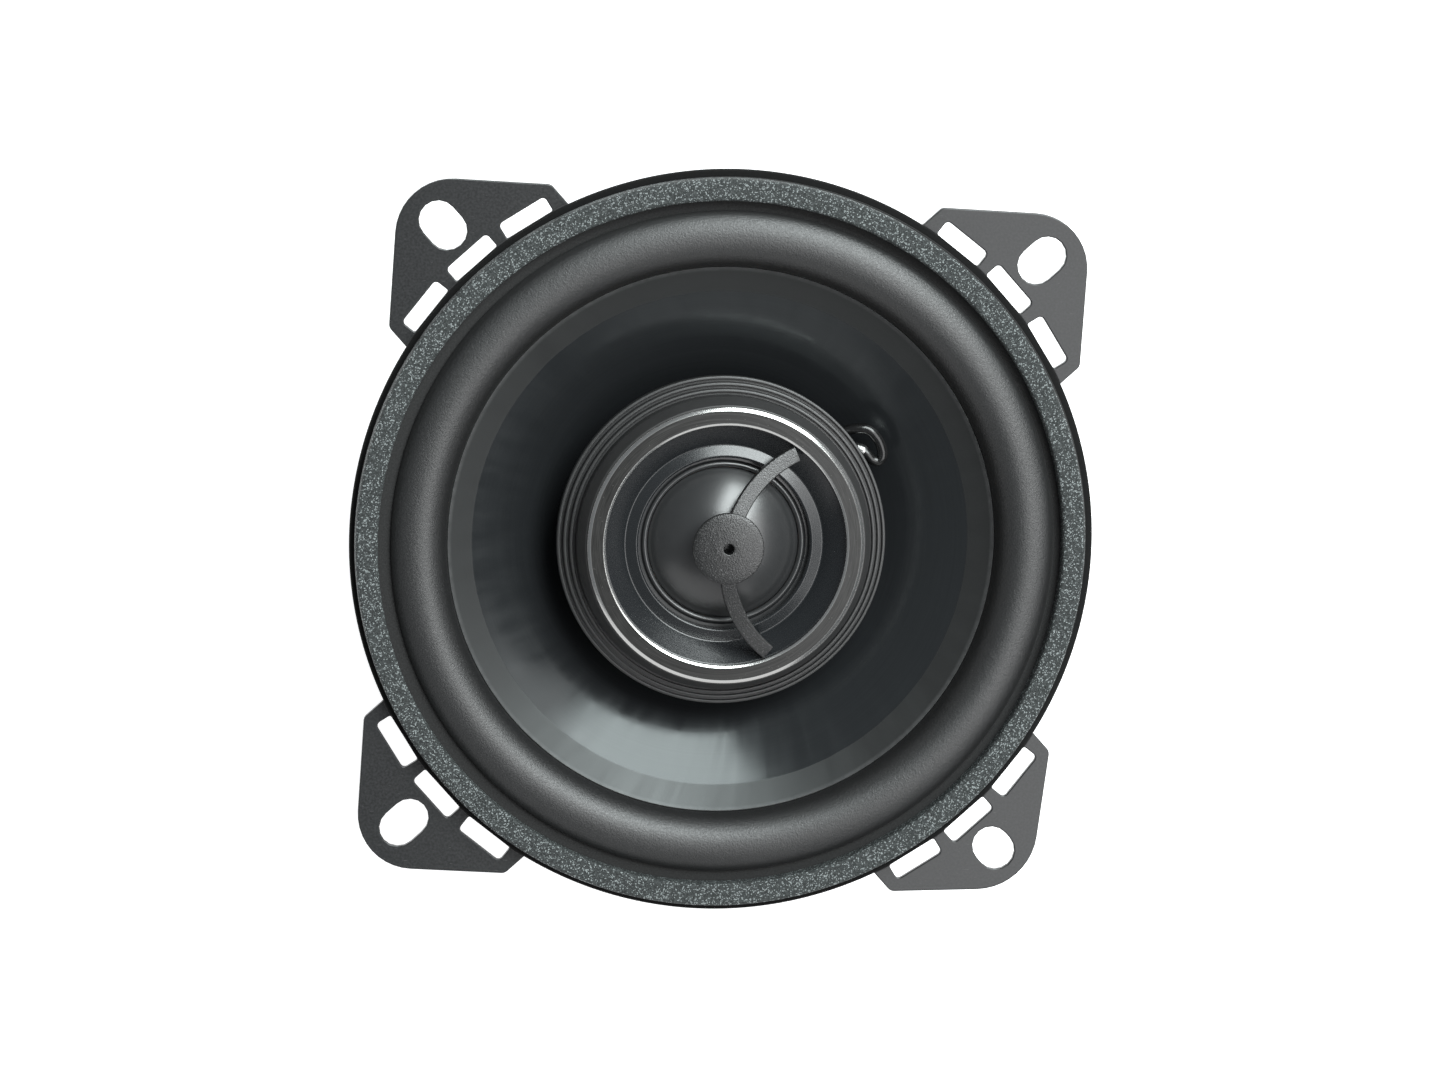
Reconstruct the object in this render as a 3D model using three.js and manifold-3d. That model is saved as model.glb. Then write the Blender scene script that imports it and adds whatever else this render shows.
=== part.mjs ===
// A 4-inch coaxial car speaker, in millimetres, lying on its magnet with +Z out of the cone.
// The origin is the centre of the magnet's rear plate, on its rear face.

import * as THREE from 'three';
import { mergeVertices } from 'three/addons/utils/BufferGeometryUtils.js';
import Module from 'manifold-3d';

const wasm = await Module();
wasm.setup();

// ---- Driving dimensions -------------------------------------------------------------------

const FLANGE_RADIUS = 51;
const FLANGE_FACE = 44;
const SHEET = 1;
const CLEARANCE = 0.3;
const GLUE_LINE = 0.05;

const EAR_AZIMUTHS = [45, 135, 225, 315];
const EAR_HALF_WIDTH = 14.6;
const EAR_SHOULDER = 52.4;
const EAR_STEP = 0.3;
const BREAK_SLOT = { radius: 52.07, length: 7.2, width: 2.3, corner: 0.4, pitch: 10 };
const MOUNT_SLOT_WIDTH = 5.2;
const EAR = { halfAngle: 45, fillet: 7.7, slotRadius: 57.95, slotLength: 7.2 };
const BLUNT_EAR = { halfAngle: 49, fillet: 8.4, slotRadius: 57.4, slotLength: 6.2 };

const PLATE_TOP = 4;
const MAGNET_TOP = 16;
const TOP_PLATE_TOP = 20;
const POLE_TOP = 20.5;
const PLATE_RADIUS = 32;
const MAGNET_RADIUS = 35;
const MAGNET_BORE = 17;
const GAP_RADIUS = 14.1;
const POLE_RADIUS = 12.1;

const WINDOW = { inner: 33.5, outer: 42, corner: 2 };
const SPOKE_HALF_WIDTH = 6.5;
const SHELF_TOP = 27;
const RIVET_CIRCLE = 21;
const RIVET_SHANK = 1.5;

const COIL_RADIUS = 12.9;
const FORMER = { bottom: 14, top: 30.2 };
const WINDING = { radius: 13.45, bottom: 14.5, top: 21.5 };
const NECK = { radius: COIL_RADIUS + GLUE_LINE, height: 29.3 };
const CREASE = { radius: 34.1, height: 41.1 };
const CONE_RIM = { radius: 37.36, height: 42.6 };
const CONE_CURVE = 0.14;
const CONE_SHEET = 0.45;
const ROLL = { radius: 41.55, half: 3.95, height: 43.275, tilt: 1.225, crown: 3.3, skew: 0.46 };
const SURROUND_SHEET = 0.5;
const GASKET = { inner: 46.9, outer: 49.95, top: 47, shift: -0.4 };

const POST_RADIUS = 4;
const SCREW_RADIUS = 1.9;
const POD_FLOOR = 35;
const POD_RIM = { radius: 22.6, height: 41, bore: 21.5 };
const RIBS = { count: 3, height: 42.1, step: 0.8, rise: 0.75, width: 0.45, groove: 0.4 };
const SHOULDER = { radius: 20.15, height: 45, lip: 19.15 };
const TWEETER_FLOOR = 37.5;
const TWEETER_TOP = 42.2;
const DOME = { radius: 10.3, edge: 43.8, rise: 4.1, sheet: 0.3 };
const TRIM = { inner: 16.5, outer: 18.95, base: 46.95 };
const PLUG = { radius: 4.87, top: 50.7, crown: 0.4, thickness: 1.2, hole: 0.72, turn: -4.2 };
const ARM = { bend: 16, width: 2.1, reach: 15.8, drop: 2.65, thickness: 1 };

const TERMINAL_AZIMUTH = 315;
const CAPACITOR = { azimuth: 285, radius: 4, length: 12.5, distance: 36.7, height: 20.4 };

const LARGE = 36;
const SMALL = 24;

// ---- Materials ----------------------------------------------------------------------------

function material(color, roughness, metalness) {
  return new THREE.MeshStandardMaterial({ color, roughness, metalness });
}

const powderCoat = () => material(0x3a3c3d, 0.6, 0.2);
const ferrite = () => material(0x2b2b2d, 0.8, 0.1);
const zincPlate = () => material(0x9a9a9c, 0.4, 0.9);
const rubber = () => material(0x2a2b2b, 0.75, 0);
const coneSheet = () => material(0x1f2123, 0.3, 0);
const blackPlastic = () => material(0x1d1e1f, 0.45, 0);
const gunmetal = () => material(0x55585a, 0.3, 0.7);
const copper = () => material(0xa5603a, 0.35, 0.8);

// ---- Solid helpers ------------------------------------------------------------------------

// A body turned about +Z from [radius, height] corners. Corners that start and end on the
// axis give a solid body, and any other outline closes into a ring.
function turned(corners, segments = LARGE) {
  const outline = corners.map(([radius, height]) => new THREE.Vector2(radius, height));
  if (THREE.ShapeUtils.isClockWise(outline)) outline.reverse();
  const onAxis = outline[0].x === 0 && outline[outline.length - 1].x === 0;
  if (!onAxis) outline.push(outline[0].clone());
  return new THREE.LatheGeometry(outline, segments).rotateX(Math.PI / 2);
}

// The outline of a sheet whose front face follows the path from the axis outwards.
function sheetOutline(path, thickness) {
  const back = path.map((point, i) => {
    const before = sideways(path[Math.max(i - 1, 0)], path[Math.max(i, 1)]);
    const last = path.length - 1;
    const after = sideways(path[Math.min(i, last - 1)], path[Math.min(i + 1, last)]);
    const reach = thickness / (1 + before.dot(after));
    return [point[0] + (before.x + after.x) * reach, point[1] + (before.y + after.y) * reach];
  });
  return [...path, ...back.reverse()];
}

function sideways(from, to) {
  return new THREE.Vector2(to[1] - from[1], from[0] - to[0]).normalize();
}

// A closed loop of points through [x, y, fillet radius] corners.
function filletedLoop(corners, steps = 4) {
  return corners.flatMap(([x, y, fillet], i) => {
    const corner = new THREE.Vector2(x, y);
    if (!fillet) return [corner];
    const [px, py] = corners[(i + corners.length - 1) % corners.length];
    const [nx, ny] = corners[(i + 1) % corners.length];
    const back = new THREE.Vector2(px - x, py - y).normalize();
    const ahead = new THREE.Vector2(nx - x, ny - y).normalize();
    const half = Math.acos(back.dot(ahead)) / 2;
    const middle = back.clone().add(ahead).setLength(fillet / Math.sin(half)).add(corner);
    const start = back.multiplyScalar(fillet / Math.tan(half)).add(corner).sub(middle);
    const end = ahead.multiplyScalar(fillet / Math.tan(half)).add(corner).sub(middle);
    const sweep = Math.atan2(start.cross(end), start.dot(end));
    return Array.from({ length: steps + 1 }, (_, k) =>
      start.clone().rotateAround(new THREE.Vector2(), (sweep * k) / steps).add(middle));
  });
}

// A plate with the given outline loop, lying between two heights.
function plate(loop, bottom, top) {
  const geometry = new THREE.ExtrudeGeometry(new THREE.Shape(loop), {
    depth: top - bottom, bevelEnabled: false,
  });
  return geometry.translate(0, 0, bottom);
}

function cylinder(radius, bottom, top, segments = 16) {
  return new THREE.CylinderGeometry(radius, radius, top - bottom, segments)
    .rotateX(Math.PI / 2)
    .translate(0, 0, (top + bottom) / 2);
}

// A round wire along a smooth curve through the points.
function wire(points, radius, steps, sides = 8) {
  const section = new THREE.Shape().absarc(0, 0, radius, 0, 2 * Math.PI);
  const curve = new THREE.CatmullRomCurve3(points.map((p) => new THREE.Vector3(...p)));
  return new THREE.ExtrudeGeometry(section, {
    steps, extrudePath: curve, curveSegments: sides / 2, bevelEnabled: false,
  });
}

// A point given by its distance from the axis, azimuth in degrees and height.
function polar(radius, azimuth, height = 0) {
  const angle = THREE.MathUtils.degToRad(azimuth);
  return [radius * Math.cos(angle), radius * Math.sin(angle), height];
}

function toManifold(geometry) {
  const bare = new THREE.BufferGeometry().setAttribute('position', geometry.attributes.position);
  if (geometry.index) bare.setIndex(geometry.index);
  const merged = mergeVertices(bare);
  const triangles = [];
  for (let i = 0; i < merged.index.count; i += 3) {
    const [a, b, c] = [0, 1, 2].map((k) => merged.index.getX(i + k));
    if (a !== b && b !== c && c !== a) triangles.push(a, b, c);
  }
  return new wasm.Manifold(new wasm.Mesh({
    numProp: 3,
    vertProperties: new Float32Array(merged.attributes.position.array),
    triVerts: new Uint32Array(triangles),
  }));
}

function toGeometry(manifold) {
  const { vertProperties, triVerts } = manifold.getMesh();
  const geometry = new THREE.BufferGeometry();
  geometry.setAttribute('position', new THREE.BufferAttribute(vertProperties, 3));
  geometry.setIndex(new THREE.BufferAttribute(triVerts, 1));
  geometry.computeVertexNormals();
  return geometry;
}

function joined(first, ...others) {
  return toGeometry(others.reduce((sum, other) => sum.add(toManifold(other)), toManifold(first)));
}

function cut(body, ...tools) {
  return toGeometry(tools.reduce((rest, tool) => rest.subtract(toManifold(tool)), toManifold(body)));
}

function shared(first, second) {
  return toGeometry(toManifold(first).intersect(toManifold(second)));
}

// ---- Assembly -----------------------------------------------------------------------------

const speaker = new THREE.Group();

function add(name, geometry, finish, parent = speaker) {
  const mesh = new THREE.Mesh(geometry, finish);
  mesh.name = name;
  parent.add(mesh);
  return mesh;
}

// ---- Magnet system ------------------------------------------------------------------------

function yoke() {
  const bore = SCREW_RADIUS + CLEARANCE;
  const counterbore = 4.4;
  const seat = 2.6;
  const rear = PLATE_RADIUS - 1;
  return turned([
    [counterbore, 0], [rear - 0.8, 0], [rear, 0.8], [rear, PLATE_TOP],
    [POLE_RADIUS, PLATE_TOP], [POLE_RADIUS, POLE_TOP], [bore, POLE_TOP], [bore, seat],
    [counterbore, seat],
  ]);
}

function magnet() {
  const chamfer = 0.8;
  return turned([
    [MAGNET_BORE, PLATE_TOP], [MAGNET_RADIUS - chamfer, PLATE_TOP],
    [MAGNET_RADIUS, PLATE_TOP + chamfer], [MAGNET_RADIUS, MAGNET_TOP - chamfer],
    [MAGNET_RADIUS - chamfer, MAGNET_TOP], [MAGNET_BORE, MAGNET_TOP],
  ]);
}

function rivetHole(azimuth) {
  return cylinder(RIVET_SHANK + CLEARANCE, MAGNET_TOP - 1, SHELF_TOP - 4, 12)
    .translate(...polar(RIVET_CIRCLE, azimuth));
}

function topPlate() {
  const ring = turned([
    [GAP_RADIUS, MAGNET_TOP], [PLATE_RADIUS, MAGNET_TOP],
    [PLATE_RADIUS, TOP_PLATE_TOP], [GAP_RADIUS, TOP_PLATE_TOP],
  ]);
  return cut(ring, ...EAR_AZIMUTHS.map(rivetHole));
}

function basketRivet() {
  const head = TOP_PLATE_TOP + SHEET;
  return turned([
    [0, MAGNET_TOP + CLEARANCE], [RIVET_SHANK, MAGNET_TOP + CLEARANCE], [RIVET_SHANK, head],
    [2.6, head], [2.4, head + 0.7], [1.4, head + 1.1], [0, head + 1.2],
  ], 12);
}

add('yoke', yoke(), zincPlate());
add('magnet', magnet(), ferrite());
add('top_plate', topPlate(), zincPlate());
EAR_AZIMUTHS.forEach((azimuth, i) => {
  const rivet = add(`basket_rivet_${i + 1}`, basketRivet(), zincPlate());
  rivet.position.set(...polar(RIVET_CIRCLE, azimuth));
});

// ---- Basket -------------------------------------------------------------------------------

const SPOKE_FOOT = [31.4, 29.5];
const SPOKE_HEAD = [44, 38.5];

function basketBowl() {
  return turned(sheetOutline([
    [17, TOP_PLATE_TOP + SHEET], [26.2, TOP_PLATE_TOP + SHEET], [26.8, SHELF_TOP],
    [31, SHELF_TOP], SPOKE_FOOT, SPOKE_HEAD, [45, FLANGE_FACE - SHEET / 2],
  ], SHEET));
}

function flangeRing() {
  return turned([
    [44.9, FLANGE_FACE - SHEET], [FLANGE_RADIUS, FLANGE_FACE - SHEET],
    [FLANGE_RADIUS, FLANGE_FACE - 0.4], [FLANGE_RADIUS - 0.4, FLANGE_FACE], [44.9, FLANGE_FACE],
  ], 2 * LARGE);
}

// An ear points along +X here, and turns to its azimuth with its slots.
function ear({ halfAngle, fillet }) {
  const apex = EAR_SHOULDER + EAR_HALF_WIDTH / Math.tan(THREE.MathUtils.degToRad(halfAngle));
  const root = 46.5;
  const loop = filletedLoop([
    [root, -EAR_HALF_WIDTH, 0], [EAR_SHOULDER, -EAR_HALF_WIDTH, 1.2], [apex, 0, fillet],
    [EAR_SHOULDER, EAR_HALF_WIDTH, 1.2], [root, EAR_HALF_WIDTH, 0],
  ]);
  return plate(loop, FLANGE_FACE - SHEET - EAR_STEP, FLANGE_FACE - EAR_STEP);
}

function mountSlot({ slotRadius, slotLength }) {
  const half = MOUNT_SLOT_WIDTH / 2;
  const run = slotLength / 2;
  const corners = [[-run, -half], [run, -half], [run, half], [-run, half]];
  const loop = filletedLoop(corners.map(([x, y]) => [x + slotRadius, y, half * 0.999]));
  return plate(loop, FLANGE_FACE - 4, FLANGE_FACE + 2);
}

function breakSlot(turn) {
  const { radius, length, width, corner } = BREAK_SLOT;
  const [x, y] = [width / 2, length / 2];
  const loop = filletedLoop([[-x, -y, corner], [x, -y, corner], [x, y, corner], [-x, y, corner]], 2);
  return plate(loop, FLANGE_FACE - 4, FLANGE_FACE + 2)
    .translate(radius, 0, 0)
    .rotateZ(THREE.MathUtils.degToRad(turn));
}

// One window between two spokes with parallel sides, opening along +X.
function basketWindow() {
  const { inner, outer, corner } = WINDOW;
  const limit = (radius) => 45 - THREE.MathUtils.radToDeg(Math.asin(SPOKE_HALF_WIDTH / radius));
  const arc = (radius, side) => {
    const steps = 8;
    return Array.from({ length: steps + 1 }, (_, k) => {
      const [x, y] = polar(radius, side * limit(radius) * ((2 * k) / steps - 1));
      return [x, y, k === 0 || k === steps ? corner : 0];
    });
  };
  return plate(filletedLoop([...arc(outer, 1), ...arc(inner, -1)], 3), SHELF_TOP, FLANGE_FACE - 2);
}

// The frame of the terminal board: +X up the spoke, +Z out of its rear face.
function spokeFrame() {
  const [dr, dz] = [SPOKE_HEAD[0] - SPOKE_FOOT[0], SPOKE_HEAD[1] - SPOKE_FOOT[1]];
  const along = new THREE.Vector3(dr, 0, dz).normalize();
  const outward = new THREE.Vector3(dz, 0, -dr).normalize();
  const across = new THREE.Vector3().crossVectors(outward, along);
  const middle = new THREE.Vector3(SPOKE_FOOT[0] + dr / 2, 0, SPOKE_FOOT[1] + dz / 2);
  const frame = new THREE.Matrix4().makeBasis(along, across, outward);
  frame.setPosition(middle.addScaledVector(outward, SHEET));
  return frame.premultiply(
    new THREE.Matrix4().makeRotationZ(THREE.MathUtils.degToRad(TERMINAL_AZIMUTH)));
}

const BOARD_RIVET_HOLE = 1.3;

function basket() {
  const turn = (geometry, azimuth) => geometry.rotateZ(THREE.MathUtils.degToRad(azimuth));
  const ears = EAR_AZIMUTHS.map((azimuth) => [azimuth, azimuth === 315 ? BLUNT_EAR : EAR]);
  const pressed = joined(
    basketBowl(), flangeRing(), ...ears.map(([azimuth, form]) => turn(ear(form), azimuth)));
  const { pitch } = BREAK_SLOT;
  const holes = ears.flatMap(([azimuth, form]) => [
    turn(mountSlot(form), azimuth),
    ...[-pitch, 0, pitch].map((offset) => breakSlot(azimuth + offset)),
    turn(basketWindow(), azimuth + 45),
    rivetHole(azimuth),
  ]);
  const boardHole = cylinder(BOARD_RIVET_HOLE, -2 * SHEET, SHEET, 12).applyMatrix4(spokeFrame());
  return cut(pressed, ...holes, boardHole);
}

function gasket() {
  const { inner, outer, top } = GASKET;
  const bottom = FLANGE_FACE + SURROUND_SHEET;
  return turned([
    [inner, bottom], [outer, bottom], [outer, top - 0.3], [outer - 0.3, top],
    [inner + 0.4, top], [inner, top - 0.5],
  ]);
}

add('basket', basket(), powderCoat());
add('gasket', gasket(), material(0x4a4e52, 0.9, 0)).position.x = GASKET.shift;

// ---- Moving cone --------------------------------------------------------------------------

// The cone's front face, steeper at the neck than at the crease.
function coneHeight(radius) {
  const run = CREASE.radius - NECK.radius;
  const slope = (CREASE.height - NECK.height) / run;
  const x = radius - NECK.radius;
  return NECK.height + (slope + CONE_CURVE) * x - (CONE_CURVE / run) * x * x;
}

function cone() {
  const steps = 5;
  const flare = Array.from({ length: steps + 1 }, (_, k) => {
    const radius = THREE.MathUtils.lerp(NECK.radius, CREASE.radius, k / steps);
    return [radius, coneHeight(radius)];
  });
  const collar = [NECK.radius, NECK.height - 1.1];
  const rim = [CONE_RIM.radius, CONE_RIM.height];
  return turned(sheetOutline([collar, ...flare, rim], CONE_SHEET));
}

// The surround's inner lip lies under the cone's rim, and its outer lip on the flange.
function surround() {
  const slope = (CONE_RIM.height - CREASE.height) / (CONE_RIM.radius - CREASE.radius);
  const lipStart = CREASE.radius + 0.8;
  const lipDrop = CONE_SHEET / Math.cos(Math.atan(slope)) + GLUE_LINE;
  const lipHeight = CREASE.height + slope * (lipStart - CREASE.radius) - lipDrop;
  const steps = 7;
  const roll = Array.from({ length: steps + 1 }, (_, k) => {
    const angle = (Math.PI * k) / steps;
    const rise = ROLL.crown * Math.sin(angle) + ROLL.skew * Math.sin(2 * angle);
    return [
      ROLL.radius - ROLL.half * Math.cos(angle),
      ROLL.height - ROLL.tilt * Math.cos(angle) + rise,
    ];
  });
  const outerLip = [50, FLANGE_FACE + SURROUND_SHEET];
  return turned(sheetOutline([[lipStart, lipHeight], ...roll, outerLip], SURROUND_SHEET));
}

function spider() {
  const [start, end] = [14.8, 25.9];
  const [waves, perWave, sheet] = [3, 4, 0.4];
  const middle = SHELF_TOP + sheet;
  const steps = waves * perWave;
  const corrugation = Array.from({ length: steps + 1 }, (_, k) => [
    THREE.MathUtils.lerp(start, end, k / steps),
    middle + 0.8 * Math.sin((2 * Math.PI * k) / perWave),
  ]);
  const path = [[COIL_RADIUS + CLEARANCE, middle], ...corrugation, [30.7, middle]];
  return turned(sheetOutline(path, sheet), SMALL);
}

function tube(inner, outer, bottom, top, segments = LARGE) {
  return turned([[inner, bottom], [outer, bottom], [outer, top], [inner, top]], segments);
}

function voiceCoilFormer() {
  return tube(COIL_RADIUS - 0.3, COIL_RADIUS, FORMER.bottom, FORMER.top);
}

function voiceCoilWinding() {
  return tube(COIL_RADIUS + GLUE_LINE, WINDING.radius, WINDING.bottom, WINDING.top);
}

add('cone', cone(), coneSheet());
add('surround', surround(), rubber());
add('spider', spider(), material(0x8a7a4c, 0.9, 0));
add('voice_coil_former', voiceCoilFormer(), material(0x8a6a3a, 0.5, 0));
add('voice_coil_winding', voiceCoilWinding(), copper());

// ---- Tweeter ------------------------------------------------------------------------------

function postScrew() {
  const [head, seat, socket] = [3.8, 2.6, 1.5];
  return turned([
    [0, 1.6], [socket, 1.6], [socket, 0.5], [head - 0.4, 0.5], [head, 0.9], [head, seat],
    [SCREW_RADIUS, seat], [SCREW_RADIUS, POD_FLOOR + 1.6], [0, POD_FLOOR + 1.6],
  ], 24);
}

function tweeterBase() {
  const bore = SCREW_RADIUS + 0.2;
  return turned([
    [0, POD_FLOOR + 2], [bore, POD_FLOOR + 2], [bore, POD_FLOOR], [12.5, POD_FLOOR],
    [14.5, POD_FLOOR + 1], [21.3, 40.7], [21.3, 41.3], [20.3, 41.3],
    [14.2, TWEETER_FLOOR + 0.6], [12.7, TWEETER_FLOOR], [0, TWEETER_FLOOR],
  ], SMALL);
}

// A shell with ribs round its skirt, and a smooth shoulder up to the trim ring.
function tweeterHousing() {
  const { radius, height, bore } = POD_RIM;
  const { count, step, rise, width, groove } = RIBS;
  const skirt = [];
  for (let i = 0; i < count; i += 1) {
    const [r, z] = [radius - i * step, RIBS.height + i * rise];
    skirt.push([r, z], [r - width, z + 0.1], [r - width, z - groove], [r - step, z - groove]);
  }
  const lip = TRIM.base - GLUE_LINE;
  return turned([
    [radius, height], ...skirt, [SHOULDER.radius, SHOULDER.height], [SHOULDER.lip, lip],
    [17.3, lip], [17.3, lip - 0.6], [18.2, lip - 0.7], [19, 43.2], [bore, height + 0.6],
    [bore, height],
  ], SMALL);
}

function trimRing() {
  const { inner, outer, base } = TRIM;
  return turned([
    [inner, base], [outer, base], [outer, base + 0.42], [outer - 0.5, base + 0.66],
    [inner + 0.32, base + 0.78], [inner, base + 0.64],
  ], SMALL);
}

// The dish around the dome, with a raised step at its foot.
function waveguide() {
  return turned([
    [11.8, 43.95], [11.8, 45.15], [12.05, 45.3], [13.55, 44.78], [16.4, 46.9],
    [17.1, 46.9], [17.1, 46.3], [16.5, 46.3], [14, 44.2], [12.6, 44.2], [12.6, 43.95],
  ], SMALL);
}

function dome() {
  const { radius, edge, rise, sheet } = DOME;
  const sphere = (radius * radius + rise * rise) / (2 * rise);
  const steps = 5;
  const shell = (size) => Array.from({ length: steps + 1 }, (_, k) => {
    const angle = (Math.asin(radius / sphere) * k) / steps;
    return [size * Math.sin(angle), edge + rise - sphere + size * Math.cos(angle)];
  });
  return turned([...shell(sphere), ...shell(sphere - sheet).reverse()], SMALL);
}

function domeSuspension() {
  return turned(sheetOutline([
    [DOME.radius + GLUE_LINE, DOME.edge], [10.5, 44.1], [10.8, 44.25], [11.1, 44.1],
    [11.25, DOME.edge + 0.05], [12.5, DOME.edge + 0.05],
  ], 0.2), SMALL);
}

function tweeterCup() {
  return turned([
    [0, TWEETER_FLOOR], [12.5, TWEETER_FLOOR], [12.5, TWEETER_TOP], [10.7, TWEETER_TOP],
    [10.7, TWEETER_FLOOR + 1.2], [0, TWEETER_FLOOR + 1.2],
  ], SMALL);
}

function disc(radius, bottom, top) {
  return turned([[0, bottom], [radius, bottom], [radius, top], [0, top]], SMALL);
}

// A disc over the dome, held by two arms that form one arc through its centre.
function phasePlug() {
  const { radius, top, crown, thickness, hole } = PLUG;
  const button = turned([
    [hole, top - thickness], [radius, top - thickness], [radius, top - crown - 0.1],
    [radius - 0.2, top - crown], [radius / 2, top - crown / 4], [hole, top],
  ], SMALL);
  const sweep = 2 * Math.asin(ARM.reach / (2 * ARM.bend));
  const arc = (size, from, to) => Array.from({ length: 17 }, (_, k) => {
    const angle = Math.PI + THREE.MathUtils.lerp(from, to, k / 16);
    return new THREE.Vector2(ARM.bend + size * Math.cos(angle), size * Math.sin(angle));
  });
  const band = [
    ...arc(ARM.bend + ARM.width / 2, -sweep, sweep),
    ...arc(ARM.bend - ARM.width / 2, sweep, -sweep),
  ];
  const prism = plate(band, FLANGE_FACE, top + 2);
  const [high, low] = [top - crown, top - crown - ARM.drop];
  const umbrella = turned([
    [radius - 0.6, high - ARM.thickness], [ARM.reach + 1, low - ARM.thickness],
    [ARM.reach + 1, low], [radius - 0.6, high],
  ], SMALL);
  return joined(button, shared(umbrella, prism)).rotateZ(THREE.MathUtils.degToRad(PLUG.turn));
}

// A loop of the tweeter's lead, out from under the pod's rim and back.
function tweeterLead() {
  return wire([
    polar(19.2, 46.5, 37.9), polar(21.4, 45, 39.6), polar(23.6, 43, 40.5), polar(25.1, 40, 40.8),
    polar(25.5, 36, 40.8), polar(25.3, 32.3, 40.7), polar(24.8, 30, 40.6),
    polar(24.1, 29.4, 40.5), polar(23.5, 30.8, 40.5), polar(23.2, 33.5, 40.6),
    polar(22.6, 36.5, 40.4), polar(21.3, 38.6, 39.5), polar(19.4, 40, 38),
  ], 0.72, 28, 6);
}

const post = tube(SCREW_RADIUS + CLEARANCE, POST_RADIUS, POLE_TOP, POD_FLOOR, 24);
add('tweeter_post', post, zincPlate());
add('post_screw', postScrew(), zincPlate());
add('tweeter_base', tweeterBase(), blackPlastic());
add('tweeter_housing', tweeterHousing(), blackPlastic());
add('trim_ring', trimRing(), gunmetal());
add('waveguide', waveguide(), blackPlastic());
add('tweeter_cup', tweeterCup(), zincPlate());
add('tweeter_magnet', disc(8.6, TWEETER_FLOOR + 1.2, 40.7), gunmetal());
add('tweeter_pole_plate', disc(9.2, 40.7, TWEETER_TOP), zincPlate());
add('tweeter_spacer', tube(11, 12.4, TWEETER_TOP, 43.55, SMALL), blackPlastic());
add('tweeter_coil', tube(9.6, 10.2, 40.2, 43.4, SMALL), copper());
add('tweeter_dome', dome(), material(0x2e3133, 0.35, 0));
add('dome_suspension', domeSuspension(), material(0x2e3133, 0.4, 0));
add('phase_plug', phasePlug(), material(0x3c3e3f, 0.55, 0));
add('tweeter_lead', tweeterLead(), material(0x151515, 0.2, 0));

// ---- Terminals and crossover --------------------------------------------------------------

const BOARD = { width: 13, length: 30, thickness: 1.6 };
const TAB_SHEET = 0.8;
const TERMINAL_OFFSET = 10;
const BOARD_TOP = CLEARANCE + BOARD.thickness;
const TAB_FOOT = BOARD_TOP + CLEARANCE;

function terminalBoard() {
  const [x, y] = [BOARD.width / 2, BOARD.length / 2];
  const loop = filletedLoop([[-x, -y, 1.5], [x, -y, 1.5], [x, y, 1.5], [-x, y, 1.5]]);
  const holes = [[0, 0], [0.8, TERMINAL_OFFSET], [0.8, -TERMINAL_OFFSET]].map(([hx, hy]) =>
    cylinder(BOARD_RIVET_HOLE, 0, BOARD_TOP + 1, 12).translate(hx, hy, 0));
  return cut(plate(loop, CLEARANCE, BOARD_TOP), ...holes);
}

// An L-shaped blade: its foot lies on the board, and its blade stands out of it.
function terminalTab(width) {
  const [low, high, tip] = [-3.6, 4, 10.5];
  const side = [
    [low, TAB_FOOT], [high, TAB_FOOT], [high, TAB_FOOT + TAB_SHEET],
    [low + TAB_SHEET, TAB_FOOT + TAB_SHEET], [low + TAB_SHEET, tip - 0.5],
    [low + TAB_SHEET / 2, tip], [low, tip - 0.5],
  ].map(([x, z]) => new THREE.Vector2(x, z));
  const bar = plate(side, -width / 2, width / 2).rotateX(Math.PI / 2);
  return cut(bar, cylinder(BOARD_RIVET_HOLE, 0, tip, 12).translate(0.8, 0, 0));
}

// A hollow rivet's outer form, from the tail head at the back to the head at the front.
function clampRivet(back, front) {
  return turned([
    [0, back - 0.8], [1.5, back - 0.8], [1.8, back], [1, back], [1, front], [2.1, front],
    [1.8, front + 0.7], [0, front + 0.7],
  ], 12);
}

const terminals = new THREE.Group();
terminals.applyMatrix4(spokeFrame());
speaker.add(terminals);

add('terminal_board', terminalBoard(), material(0x6b4a2c, 0.7, 0), terminals);
add('board_rivet', clampRivet(-SHEET - CLEARANCE, TAB_FOOT), zincPlate(), terminals);
for (const [pole, side, width] of [['positive', 1, 4.8], ['negative', -1, 2.8]]) {
  const tab = add(`terminal_tab_${pole}`, terminalTab(width), zincPlate(), terminals);
  tab.position.y = side * TERMINAL_OFFSET;
  const form = clampRivet(0, TAB_FOOT + TAB_SHEET + CLEARANCE);
  const rivet = add(`terminal_rivet_${pole}`, form, zincPlate(), terminals);
  rivet.position.set(0.8, side * TERMINAL_OFFSET, 0);
}

// A slack lead from a terminal rivet's tail to the back of the cone by its neck.
function tinselLead(side) {
  const start = new THREE.Vector3(0.8, side * TERMINAL_OFFSET, -1.6).applyMatrix4(spokeFrame());
  const bearing = (offset) => TERMINAL_AZIMUTH - side * offset;
  return wire([
    [start.x, start.y, start.z], polar(34, bearing(14), 33.6), polar(29, bearing(11), 32),
    polar(24, bearing(10), 31.6), polar(19.5, bearing(9), 31),
  ], 0.45, 14, 6);
}

add('tinsel_lead_positive', tinselLead(1), material(0xb08d57, 0.4, 0.6));
add('tinsel_lead_negative', tinselLead(-1), material(0xb08d57, 0.4, 0.6));

const crossover = new THREE.Group();
crossover.position.set(...polar(CAPACITOR.distance, CAPACITOR.azimuth, CAPACITOR.height));
crossover.rotation.z = THREE.MathUtils.degToRad(CAPACITOR.azimuth);
speaker.add(crossover);

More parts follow.
